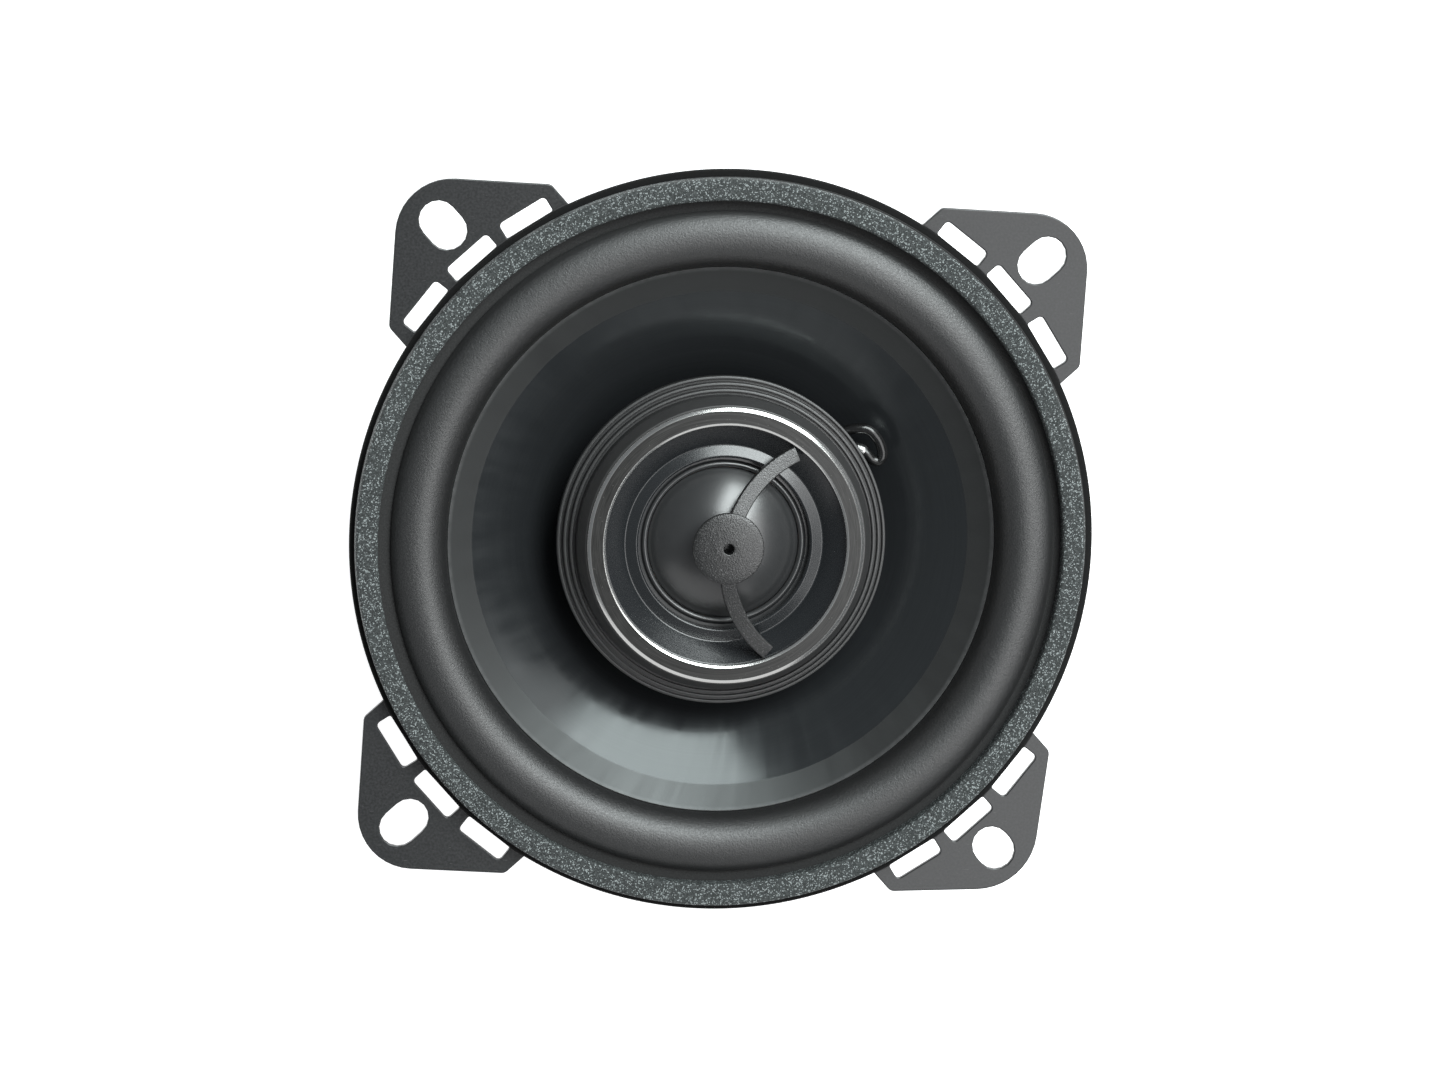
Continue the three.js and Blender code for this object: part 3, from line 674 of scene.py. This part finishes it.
def pod_plastic():
    """Satin on the pod's outside, darker and glossier in the dish round the dome."""
    f = Finish("pod_plastic", specular=0.75)
    dish = f.steps(f.around(), DISH_RADIUS + 0.2, DISH_RADIUS - 0.2)
    grain = f.noise(5.0, 2.0)
    color = f.mix(f.noise(0.3, 4.0), grey(0.026, 0.0), grey(0.037, 0.0))
    color = f.mix(dish, color, grey(0.014, -0.12))
    f.bump(grain, 0.012, 0.4)
    f.bump(f.noise(0.5, 2.0), 0.06, 0.08)
    rough = f.steps(grain, 0.3, 0.7, 0.38, 0.48)
    return f.done(color, f.math("SUBTRACT", rough, f.math("MULTIPLY", dish, 0.18)))


def trim_gunmetal():
    """Dark lacquer on the face of the ring, with bare bright metal on its two cut edges."""
    f = Finish("trim_gunmetal", specular=0.3)
    distance = f.around()
    brush = f.noise(1.5, 4.0, f.wrapped(9.0, 5.0, 5.0))
    specks = f.steps(f.cells(1.8), 0.08, 0.03)
    outer_cut = f.steps(distance, TRIM[1] - 0.49, TRIM[1] - 0.43)
    inner_cut = f.steps(distance, TRIM[0] + 0.34, TRIM[0] + 0.28)
    cut = f.math("MAXIMUM", outer_cut, inner_cut)
    color = f.mix(f.steps(brush, 0.3, 0.7), grey(0.012, 0.03), grey(0.046, 0.03))
    color = f.mix(specks, color, (0.3, 0.29, 0.27))
    color = f.mix(cut, color, (0.80, 0.80, 0.78))
    f.feed(f.shader.inputs["Metallic"], cut)
    f.bump(brush, 0.012, 0.35)
    face = f.steps(brush, 0.3, 0.7, 0.28, 0.36)
    return f.done(color, f.math("SUBTRACT", face, f.math("MULTIPLY", cut, 0.14)))


def dome_film():
    f = Finish("dome_film", specular=1.0, coat=0.3, coat_roughness=0.22)
    grain = f.noise(6.0, 2.0)
    color = f.mix(f.noise(0.5, 4.0), grey(0.024, -0.03), grey(0.032, -0.03))
    f.bump(grain, 0.008, 0.3)
    return f.done(color, f.steps(grain, 0.3, 0.7, 0.28, 0.32))


def plug_plastic():
    f = Finish("plug_plastic", specular=0.75)
    grain = f.cells(5.0)
    color = f.mix(f.noise(0.8, 4.0), grey(0.009, -0.02), grey(0.014, -0.02))
    color = f.mix(f.steps(f.noise(5.0, 1.0), 0.62, 0.7), color, grey(0.09))
    f.bump(grain, 0.05, 0.5)
    return f.done(color, f.steps(grain, 0.1, 0.6, 0.26, 0.36))


def black_wire():
    f = Finish("black_wire", coat=0.3, coat_roughness=0.08)
    color = f.mix(f.noise(0.6, 3.0), grey(0.005), grey(0.010))
    f.bump(f.noise(0.8, 2.0), 0.06, 0.25)
    return f.done(color, f.steps(f.noise(2.0), 0.3, 0.7, 0.16, 0.28))


def fibre_board():
    f = Finish("fibre_board", specular=0.35)
    fibres = f.noise(1.5, 5.0, f.vector("MULTIPLY", f.place, (1.0, 4.0, 1.0)))
    color = f.mix(fibres, (0.10, 0.045, 0.018), (0.20, 0.10, 0.045))
    f.bump(fibres, 0.06, 0.4)
    return f.done(color, f.steps(fibres, 0.3, 0.7, 0.5, 0.7))


def terminal_brass():
    f = Finish("terminal_brass", metallic=1.0)
    tarnish = f.noise(0.5, 6.0)
    color = f.mix(tarnish, (0.62, 0.58, 0.48), (0.72, 0.70, 0.64))
    color = f.mix(f.steps(f.noise(1.6, 6.0), 0.62, 0.72), color, (0.42, 0.33, 0.18))
    f.bump(f.noise(1.5, 3.0, f.vector("MULTIPLY", f.place, (6.0, 1.0, 1.0))), 0.02, 0.4)
    return f.done(color, f.steps(tarnish, 0.3, 0.7, 0.22, 0.4))


def tinsel_braid():
    f = Finish("tinsel_braid", metallic=0.9)
    x, y, z = f.axes()
    one = f.math("SINE", f.math("MULTIPLY", f.math("ADD", x, y), 14.0))
    two = f.math("SINE", f.math("MULTIPLY", f.math("SUBTRACT", z, y), 14.0))
    braid = f.steps(f.math("MULTIPLY", one, two), -0.7, 0.7)
    color = f.mix(braid, (0.22, 0.13, 0.06), (0.72, 0.60, 0.42))
    f.bump(braid, 0.12, 1.0)
    return f.done(color, f.steps(f.noise(2.0), 0.3, 0.7, 0.3, 0.45))


def capacitor_sleeve():
    f = Finish("capacitor_sleeve", coat=0.3, coat_roughness=0.12)
    color = f.mix(f.noise(0.5, 4.0), (0.012, 0.020, 0.050), (0.020, 0.032, 0.075))
    f.bump(f.noise(0.6, 3.0), 0.08, 0.25)
    return f.done(color, f.steps(f.noise(1.0), 0.3, 0.7, 0.24, 0.4))


def tinned_wire():
    f = Finish("tinned_wire", metallic=1.0)
    color = f.mix(f.noise(1.2, 4.0), (0.55, 0.55, 0.54), (0.75, 0.75, 0.73))
    f.bump(f.noise(1.5, 3.0), 0.03, 0.3)
    return f.done(color, f.steps(f.noise(0.8), 0.3, 0.7, 0.2, 0.38))


def magnet_nickel():
    f = Finish("magnet_nickel", metallic=1.0)
    color = f.mix(f.noise(0.5, 4.0), (0.55, 0.54, 0.50), (0.66, 0.65, 0.61))
    f.bump(f.noise(2.0, 3.0), 0.02, 0.3)
    return f.done(color, f.steps(f.noise(1.0), 0.3, 0.7, 0.18, 0.32))


FINISHES = {make.__name__: make() for make in (
    powder_coat, zinc_steel, ferrite, gasket_composite, surround_rubber, cone_sheet,
    spider_cloth, coil_former, copper_wire, pod_plastic, trim_gunmetal, dome_film,
    plug_plastic, black_wire, fibre_board, terminal_brass, tinsel_braid, capacitor_sleeve,
    tinned_wire, magnet_nickel)}


def dress(piece, slot, *nodes, body="chassis", sharp=38):
    """Gives a piece its finish and smooth shading, and puts it on its body for its nodes."""
    piece.data.materials.clear()
    piece.data.materials.append(FINISHES[slot])
    piece.data.shade_smooth()
    piece.data.set_sharp_from_angle(angle=math.radians(sharp))
    normals = piece.modifiers.new("normals", "WEIGHTED_NORMAL")
    normals.keep_sharp = True
    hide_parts(*nodes)
    if body:
        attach(piece, body)
    return piece


# ---- Magnet system --------------------------------------------------------------------------


def yoke():
    rear, pole, bore = radius("yoke"), 12.1, 2.2
    head, seat, pole_top = 4.4, 2.6, top("yoke")
    return lathe("yoke_plate", rounded([
        (head, 0, 0.25), (rear - 6, 0), (rear - 5.6, 0.35, 0.2), (rear - 5.0, 0.35, 0.2),
        (rear - 4.6, 0), (rear, 0, 0.8), (rear, PLATE_TOP, 0.15), (pole, PLATE_TOP),
        (pole, pole_top, 0.4), (bore, pole_top, 0.2), (bore, seat), (head, seat, 0.1)]))


def magnet():
    return lathe("ferrite_ring", rounded([
        (17, PLATE_TOP), (MAGNET_RADIUS, PLATE_TOP, 0.9), (MAGNET_RADIUS, MAGNET_TOP, 0.9),
        (17, MAGNET_TOP)]))


def top_plate():
    return lathe("front_plate", rounded([
        (14.1, MAGNET_TOP), (PLATE_RADIUS, MAGNET_TOP, 0.3), (PLATE_RADIUS, FLOOR_TOP, 0.3),
        (14.1, FLOOR_TOP, 0.2)]))


def basket_rivet(name, azimuth):
    head = FLOOR_TOP + SHEET
    x, y, _ = polar(RIVET_CIRCLE, azimuth)
    return lathe(name, rounded([
        (0, MAGNET_TOP + 0.3), (1.5, MAGNET_TOP + 0.3), (1.5, head), (2.6, head, 0.1),
        (2.5, head + 0.7, 0.25), (1.2, head + 1.2, 0.3), (0.8, head + 0.9, 0.2),
        (0, head + 0.9)]), (x, y), 32)


dress(yoke(), "zinc_steel", "yoke")
dress(magnet(), "ferrite", "magnet")
dress(top_plate(), "zinc_steel", "top_plate")
for i, azimuth in enumerate(EAR_AZIMUTHS, 1):
    rivet = basket_rivet(f"flange_rivet_{i}", azimuth)
    dress(rivet, "zinc_steel", f"basket_rivet_{i}")

# ---- Basket ---------------------------------------------------------------------------------


def bowl():
    """The bowl and the flange, pressed from one sheet."""
    path = rounded([
        (17, FLOOR_TOP + SHEET), (26.2, FLOOR_TOP + SHEET, 0.8), (26.8, SHELF_TOP, 1.3),
        (31, SHELF_TOP, 0.8), (*SPOKE_FOOT, 1.5), (*SPOKE_HEAD, 1.5),
        (45, FLANGE_TOP, 1.15), (FLANGE_RADIUS, FLANGE_TOP)], 5, closed=False)
    return lathe("basket_frame", sheet(path, SHEET, 0.32), segments=2 * SEGMENTS)


def ear(form, azimuth):
    apex = EAR_SHOULDER + EAR_HALF_WIDTH / math.tan(math.radians(form["half_angle"]))
    outline = rounded([
        (46.5, -EAR_HALF_WIDTH), (EAR_SHOULDER, -EAR_HALF_WIDTH, 1.2), (apex, 0, form["fillet"]),
        (EAR_SHOULDER, EAR_HALF_WIDTH, 1.2), (46.5, EAR_HALF_WIDTH)], 10)
    level = FLANGE_TOP - EAR_STEP
    return turned(plate("ear", outline, level - SHEET, level, 0.18), azimuth)


def ear_hole(outline, distance, turn, azimuth):
    level = FLANGE_TOP - EAR_STEP
    middle = plate("hole", outline, level - SHEET, level, -0.16)
    ends = []
    for low, high in ((level - 4, level - SHEET + 0.002), (level - 0.002, level + 2)):
        ends.append(plate("end", offset(outline, 0.159), low, high, 0.0001, 1))
    return [turned(shifted(part, distance), azimuth + turn) for part in (middle, *ends)]


def window(azimuth):
    """A window between two spokes with parallel sides."""
    outer, inner = (
        45 - math.degrees(math.asin(SPOKE_HALF_WIDTH / WINDOW[side])) for side in ("outer", "inner"))
    loop = arc(WINDOW["outer"], -outer, outer, 16) + arc(WINDOW["inner"], inner, -inner, 16)
    for k in (0, 16, 17, 33):
        loop[k] = (*loop[k], WINDOW["corner"])
    outline = rounded(loop, 6)
    return turned(plate("window", outline, SHELF_TOP, FLANGE_TOP - 2, 0.01, 1), azimuth)


def spoke_frame():
    """The terminal board's frame: +X up the spoke, +Z out of its rear face."""
    foot, head = Vector(SPOKE_FOOT), Vector(SPOKE_HEAD)
    slope = (head - foot).normalized()
    along = Vector((slope.x, 0, slope.y))
    outward = Vector((slope.y, 0, -slope.x))
    across = outward.cross(along)
    middle = Vector(((foot.x + head.x) / 2, 0, (foot.y + head.y) / 2)) + outward * SHEET
    basis = Matrix((along, across, outward)).transposed().to_4x4()
    turn = Matrix.Rotation(math.radians(TERMINAL_AZIMUTH), 4, "Z")
    return turn @ Matrix.Translation(middle) @ basis


def basket():
    frame_piece = bowl()
    forms = [(a, BLUNT_EAR if a == TERMINAL_AZIMUTH else EAR) for a in EAR_AZIMUTHS]
    carve(frame_piece, "UNION", [ear(form, azimuth) for azimuth, form in forms])
    holes = [window(azimuth + 45) for azimuth in EAR_AZIMUTHS]
    for azimuth, form in forms:
        half, run = SLOT_WIDTH / 2, form["slot_length"] / 2
        stadium = box_loop(run, half, (half * 0.999,) * 4)
        holes += ear_hole(stadium, form["slot_radius"], 0, azimuth)
        slot = box_loop(BREAK_SLOT["width"] / 2, BREAK_SLOT["length"] / 2, (0.3, 0.6, 0.6, 0.3))
        for offset_turn in (-BREAK_SLOT["pitch"], 0, BREAK_SLOT["pitch"]):
            holes += ear_hole(slot, BREAK_SLOT["radius"], offset_turn, azimuth)
    carve(frame_piece, "DIFFERENCE", holes)
    return frame_piece


dress(basket(), "powder_coat", "basket", sharp=32)


def gasket():
    inner, outer = GASKET_RING
    low = FLANGE_TOP + 0.5
    return lathe("pressed_gasket", rounded([
        (inner, low, 0.1), (outer, low, 0.1), (outer, GASKET_TOP, 0.45),
        (inner, GASKET_TOP, 0.5)]), (GASKET_CENTRE, 0.0))


dress(gasket(), "gasket_composite", "gasket")

# ---- Moving cone ----------------------------------------------------------------------------


def cone():
    run = CREASE[0] - NECK[0]
    slope = (CREASE[1] - NECK[1]) / run
    flare = []
    for k in range(25):
        x = run * k / 24
        flare.append((NECK[0] + x, NECK[1] + (slope + CONE_CURVE) * x - CONE_CURVE / run * x * x))
    path = [(NECK[0], NECK[1] - 1.1), *flare, CONE_RIM]
    return lathe("cone_body", sheet(path, 0.45, 0.12))


def surround():
    slope = (CONE_RIM[1] - CREASE[1]) / (CONE_RIM[0] - CREASE[0])
    start = CREASE[0] + 0.8
    drop = 0.45 / math.cos(math.atan(slope)) + 0.05
    roll = []
    for k in range(37):
        angle = math.pi * k / 36
        rise = ROLL["crown"] * math.sin(angle) + ROLL["skew"] * math.sin(2 * angle)
        roll.append((
            ROLL["radius"] - ROLL["half"] * math.cos(angle),
            ROLL["height"] - ROLL["tilt"] * math.cos(angle) + rise))
    path = [(start, CREASE[1] + slope * 0.8 - drop), *roll, (50.0, FLANGE_TOP + 0.5)]
    return lathe("roll_surround", sheet(path, 0.5, 0.12))


def spider():
    first, last, waves, cloth = 14.8, 25.9, 3, 0.4
    middle = SHELF_TOP + cloth
    corrugation = []
    for k in range(16 * waves + 1):
        height = middle + 0.8 * math.sin(2 * math.pi * k / 16)
        corrugation.append((first + (last - first) * k / (16 * waves), height))
    path = [(COIL_RADIUS + 0.1, middle), *corrugation, (30.7, middle)]
    return lathe("corrugated_spider", sheet(path, cloth, 0.1))


def ring(name, inner, outer, low, high, edge=0.1):
    return lathe(name, rounded([
        (inner, low, edge), (outer, low, edge), (outer, high, edge), (inner, high, edge)]))


def blend_round(piece):
    """Bakes the ring's placement into its mesh."""
    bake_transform(piece)


dress(cone(), "cone_sheet", "cone", body="cone_assembly")
former = ring("former_tube", COIL_RADIUS - 0.3, COIL_RADIUS, 14, 30.2, 0.05)
dress(former, "coil_former", "voice_coil_former", body="cone_assembly")
winding = ring("winding", COIL_RADIUS + 0.05, 13.45, 14.5, 21.5, 0.12)
dress(winding, "copper_wire", "voice_coil_winding", body="cone_assembly")
edge_roll = dress(surround(), "surround_rubber", "surround", body=None)
blend_round(edge_roll)
cloth = dress(spider(), "spider_cloth", "spider", body=None)
blend_round(cloth)

# ---- Tweeter --------------------------------------------------------------------------------


def post_screw():
    head, seat, socket, tip = 3.8, 2.6, 1.5, POD_FLOOR + 1.6
    return lathe("centre_screw", rounded([
        (0, 1.6), (socket, 1.6, 0.1), (socket, 0.5, 0.15), (head, 0.5, 0.4), (head, seat, 0.1),
        (SCREW_RADIUS, seat), (SCREW_RADIUS, tip, 0.3), (0, tip)]), segments=48)


def tweeter_base():
    bore = SCREW_RADIUS + 0.2
    return lathe("pod_dish", rounded([
        (0, POD_FLOOR + 2), (bore, POD_FLOOR + 2), (bore, POD_FLOOR, 0.2), (12.5, POD_FLOOR, 0.6),
        (14.5, POD_FLOOR + 1, 0.8), (21.3, 40.7, 0.2), (21.3, 41.3, 0.15), (20.3, 41.3, 0.15),
        (14.2, TWEETER_FLOOR + 0.6, 0.4), (12.7, TWEETER_FLOOR), (0, TWEETER_FLOOR)]))


def tweeter_housing():
    """A shell with ribs round its skirt, and a smooth shoulder up to the trim ring."""
    low, lip = bottom("tweeter_housing"), TRIM_BASE - 0.05
    skirt = []
    for i in range(RIBS["count"]):
        r, z = POD_RADIUS - i * RIBS["step"], RIBS["height"] + i * RIBS["rise"]
        crest, floor = r - RIBS["width"], z - RIBS["groove"]
        skirt += [(r, z, 0.14), (crest, z + 0.1, 0.14), (crest, floor, 0.05)]
        skirt.append((r - RIBS["step"], floor, 0.05))
    return lathe("pod_shell", rounded([
        (POD_RADIUS, low, 0.12), *skirt, (SHOULDER["radius"], SHOULDER["height"], 0.5),
        (SHOULDER["lip"], lip, 0.15), (17.3, lip), (17.3, lip - 0.6), (18.2, lip - 0.7),
        (19, 43.2, 0.4), (POD_BORE, low + 0.6, 0.2), (POD_BORE, low, 0.12)]))


def trim_ring():
    inner, outer = TRIM
    return lathe("trim_band", rounded([
        (inner, TRIM_BASE), (outer, TRIM_BASE, 0.08), (outer, TRIM_BASE + 0.42, 0.1),
        (outer - 0.5, TRIM_BASE + 0.66, 0.3), (inner + 0.32, TRIM_BASE + 0.78, 0.1),
        (inner, TRIM_BASE + 0.64, 0.08)]))


def waveguide():
    return lathe("dish", rounded([
        (11.8, 43.95), (11.8, 45.15, 0.1), (12.05, 45.3, 0.2), (13.55, 44.78, 0.3),
        (16.4, 46.9, 0.3), (17.1, 46.9), (17.1, 46.3), (16.5, 46.3, 0.2),
        (14, 44.2, 0.3), (12.6, 44.2), (12.6, 43.95)]))


def tweeter_dome():
    size, rise, film = DOME["radius"], DOME["rise"], DOME["sheet"]
    sphere = (size * size + rise * rise) / (2 * rise)
    crown = DOME_EDGE + rise - sphere
    limit = math.degrees(math.asin(size / sphere))
    front = arc(sphere, 90, 90 - limit, 24, (0, crown))
    back = arc(sphere - film, 90 - limit, 90, 24, (0, crown))
    front[0], back[-1] = (0.0, front[0][1]), (0.0, back[-1][1])
    return lathe("dome_cap", [*front, *back])


def dome_suspension():
    path = rounded([
        (DOME["radius"] + 0.05, DOME_EDGE), (10.5, 44.1, 0.2), (10.8, 44.25, 0.25),
        (11.1, 44.1, 0.2), (11.25, DOME_EDGE + 0.05, 0.25), (12.5, DOME_EDGE + 0.05)],
        closed=False)
    return lathe("dome_edge_roll", sheet(path, 0.2, 0.05))


def tweeter_cup():
    return lathe("motor_cup", rounded([
        (0, TWEETER_FLOOR), (12.5, TWEETER_FLOOR, 0.5), (12.5, MOTOR_TOP, 0.15),
        (10.7, MOTOR_TOP, 0.15), (10.7, TWEETER_FLOOR + 1.2, 0.4), (0, TWEETER_FLOOR + 1.2)]))


def disc(name, size, low, high):
    edge = 0.15
    return lathe(name, rounded([(0, low), (size, low, edge), (size, high, edge), (0, high)]))


def arm_loop(angle):
    """The rounded section of the arm, square to its run."""
    inner, outer = ARM["bend"] - ARM["width"] / 2, ARM["bend"] + ARM["width"] / 2
    start, end = PLUG["radius"] - 0.6, ARM["reach"] + 1
    edge = 0.2
    loop = []
    corners = rounded([
        (inner, -ARM["thickness"], edge), (outer, -ARM["thickness"], edge), (outer, 0, edge),
        (inner, 0, edge)], 3)
    for size, depth in corners:
        x = ARM["bend"] + size * math.cos(math.pi + angle)
        y = size * math.sin(math.pi + angle)
        share = min(max((math.hypot(x, y) - start) / (end - start), 0.0), 1.0)
        loop.append((x, y, PLUG_TOP - PLUG["crown"] - ARM["drop"] * share + depth))
    return loop


def phase_plug():
    """A disc over the dome, held by two arms that form one arc through its centre."""
    hole, size, crown = PLUG["hole"], PLUG["radius"], PLUG["crown"]
    back = PLUG_TOP - PLUG["thickness"]
    face = [(size * k / 6, PLUG_TOP - crown * (k / 6) ** 2) for k in range(5, 1, -1)]
    plug = lathe("phase_disc", rounded([
        (hole, back, 0.1), (size, back, 0.15), (size, PLUG_TOP - crown, 0.2), *face,
        (hole, PLUG_TOP, 0.12)]), segments=96)
    sweep = 2 * math.asin(ARM["reach"] / (2 * ARM["bend"]))
    clear = 2 * math.asin(2.4 / (2 * ARM["bend"]))
    arms = []
    for side in (-1, 1):
        count = 30
        angles = [side * (clear + (sweep - clear) * k / count) for k in range(count + 1)]
        loops = [arm_loop(angle) for angle in angles]
        arms.append(loft("arm", loops if side < 0 else loops[::-1]))
    carve(plug, "UNION", arms)
    return turned(plug, PLUG["turn"])


def tweeter_lead():
    return wire("lead_loop", [
        polar(19.2, 46.5, 37.9), polar(21.4, 45, 39.6), polar(23.6, 43, 40.5),
        polar(25.1, 40, 40.8), polar(25.5, 36, 40.8), polar(25.3, 32.3, 40.7),
        polar(24.8, 30, 40.6), polar(24.1, 29.4, 40.5), polar(23.5, 30.8, 40.5),
        polar(23.2, 33.5, 40.6), polar(22.6, 36.5, 40.4), polar(21.3, 38.6, 39.5),
        polar(19.4, 40, 38)], 0.72)


dress(ring("pod_post", 2.2, 4.0, top("yoke"), POD_FLOOR, 0.2), "zinc_steel", "tweeter_post")
dress(post_screw(), "zinc_steel", "post_screw")
dress(tweeter_base(), "pod_plastic", "tweeter_base")
dress(tweeter_housing(), "pod_plastic", "tweeter_housing", sharp=50)
dress(trim_ring(), "trim_gunmetal", "trim_ring", sharp=60)
dress(waveguide(), "pod_plastic", "waveguide")
dress(tweeter_cup(), "zinc_steel", "tweeter_cup")
dress(disc("slug_magnet", 8.6, TWEETER_FLOOR + 1.2, 40.7), "magnet_nickel", "tweeter_magnet")
dress(disc("slug_plate", 9.2, 40.7, MOTOR_TOP), "zinc_steel", "tweeter_pole_plate")
dress(ring("spacer_ring", 11, 12.4, MOTOR_TOP, 43.55), "pod_plastic", "tweeter_spacer")
coil = ring("dome_coil", 9.6, 10.2, 40.2, 43.4, 0.08)
dress(coil, "copper_wire", "tweeter_coil", body="tweeter_diaphragm")
dress(tweeter_dome(), "dome_film", "tweeter_dome", body="tweeter_diaphragm")
rim_roll = dress(dome_suspension(), "dome_film", "dome_suspension", body=None)
blend_round(rim_roll)
dress(phase_plug(), "plug_plastic", "phase_plug")
dress(tweeter_lead(), "black_wire", "tweeter_lead")
solder = wire("lead_solder", [
    polar(22.95, 35.0, 40.55), polar(22.75, 35.8, 40.48), polar(22.5, 36.7, 40.36)], 0.81)
dress(solder, "tinned_wire", "tweeter_lead")

# ---- Terminals and crossover ----------------------------------------------------------------

BOARD_TOP = BOARD["face"]
TAB_FOOT = BOARD_TOP + 0.3
TAB_SHEET = 0.8
SPOKE = spoke_frame()
SPOKE_M = Matrix.Translation(SPOKE.translation * MM) @ SPOKE.to_3x3().to_4x4()


def terminal_board():
    outline = box_loop(BOARD["width"] / 2, BOARD["length"] / 2, (1.5,) * 4)
    board = plate("fibre_plate", outline, BOARD["back"], BOARD_TOP, 0.1)
    holes = []
    for x, y in ((0, 0), (0.8, TERMINAL_OFFSET), (0.8, -TERMINAL_OFFSET)):
        holes.append(lathe("hole", [(0, 0), (1.3, 0), (1.3, 3), (0, 3)], (x, y), 32))
    carve(board, "DIFFERENCE", holes)
    return moved(board, SPOKE_M)


def terminal_tab(name, width, side):
    low, high, tip = -3.6, 4.0, 10.5
    profile = [
        (low, TAB_FOOT, 0.5), (high, TAB_FOOT, 0.2), (high, TAB_FOOT + TAB_SHEET, 0.2),
        (low + TAB_SHEET, TAB_FOOT + TAB_SHEET, 0.4), (low + TAB_SHEET, tip - 0.5, 0.15),
        (low + TAB_SHEET / 2, tip, 0.15), (low, tip - 0.5, 0.15)]
    bar = plate(name, rounded(profile, 4), -width / 2, width / 2, 0.12)
    moved(bar, Matrix.Rotation(math.pi / 2, 4, "X"))
    hole = lathe("hole", [(0, 0), (1.3, 0), (1.3, tip), (0, tip)], (0.8, 0), 32)
    eye = plate("eye", box_loop(0.8, 0.8, (0.79,) * 4), -8, 0, 0.01, 1)
    moved(eye, Matrix.Translation(Vector((0, 0, 7.2)) * MM) @ Matrix.Rotation(math.pi / 2, 4, "Y"))
    carve(bar, "DIFFERENCE", [hole, eye])
    return moved(bar, SPOKE_M @ Matrix.Translation(Vector((0, side * TERMINAL_OFFSET, 0)) * MM))


def clamp_rivet(name, back, front, x, y):
    rivet = lathe(name, rounded([
        (0, back - 0.8), (1.5, back - 0.8, 0.3), (1.8, back, 0.1), (1, back), (1, front),
        (2.1, front, 0.1), (1.9, front + 0.7, 0.3), (0.9, front + 0.7, 0.2),
        (0.7, front + 0.3, 0.1), (0, front + 0.3)]), (x, y), 32)
    return moved(rivet, SPOKE_M)


def on_board(x, y, z):
    return tuple(SPOKE @ Vector((x, y, z)))


def tinsel_lead(name, side):
    bearing = TERMINAL_AZIMUTH
    return wire(name, [
        on_board(0.8, side * TERMINAL_OFFSET, -1.6), polar(34, bearing - side * 14, 33.6),
        polar(29, bearing - side * 11, 32), polar(24, bearing - side * 10, 31.6),
        polar(19.5, bearing - side * 9, 31)], 0.45, 14)


def blend_along(piece):
    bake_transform(piece)


dress(terminal_board(), "fibre_board", "terminal_board")
clamp = clamp_rivet("clamp_rivet", -SHEET - 0.3, TAB_FOOT, 0, 0)
dress(clamp, "zinc_steel", "board_rivet")
for pole, side, width in (("positive", 1, 4.8), ("negative", -1, 2.8)):
    tab = terminal_tab(f"blade_{pole}", width, side)
    dress(tab, "terminal_brass", f"terminal_tab_{pole}")
    head = TAB_FOOT + TAB_SHEET + 0.3
    rivet = clamp_rivet(f"blade_rivet_{pole}", 0, head, 0.8, side * TERMINAL_OFFSET)
    dress(rivet, "zinc_steel", f"terminal_rivet_{pole}")
    lead = tinsel_lead(f"braid_{pole}", side)
    dress(lead, "tinsel_braid", f"tinsel_lead_{pole}", body=None)
    azimuth = TERMINAL_AZIMUTH - side * 10
    blend_along(lead)


def capacitor_centre():
    return Vector(polar(CAPACITOR["distance"], CAPACITOR["azimuth"], CAPACITOR["height"]))


def capacitor_frame():
    place = Matrix.Translation(capacitor_centre() * MM)
    turn = Matrix.Rotation(math.radians(CAPACITOR["azimuth"]), 4, "Z")
    return place @ turn @ Matrix.Rotation(-math.pi / 2, 4, "X")


def capacitor():
    size, half = CAPACITOR["radius"], CAPACITOR["length"] / 2
    body = lathe("sleeved_capacitor", rounded([
        (0, -half + 0.3), (size - 1.1, -half + 0.3, 0.1), (size - 0.9, -half, 0.2),
        (size, -half, 0.4), (size, half - 2.3, 0.3), (size - 0.45, half - 1.9, 0.4),
        (size, half - 1.5, 0.3), (size, half, 0.4), (size - 1.2, half, 0.2),
        (size - 1.4, half - 0.3, 0.2), (0, half - 0.3)]), segments=72)
    return moved(body, capacitor_frame())


def capacitor_lead():
    angle = math.radians(CAPACITOR["azimuth"])
    place, half = capacitor_centre(), CAPACITOR["length"] / 2
    along = Vector((-math.sin(angle), math.cos(angle), 0))
    return wire("capacitor_wire", [
        place + along * (half + 0.3), place + along * (half + 2.5),
        on_board(-1.5, TERMINAL_OFFSET + 4.8, TAB_FOOT + 3.6),
        on_board(0.8, TERMINAL_OFFSET + 1, TAB_FOOT + 2.6)], 0.35, 12)


dress(capacitor(), "capacitor_sleeve", "crossover_capacitor")
dress(capacitor_lead(), "tinned_wire", "capacitor_lead")
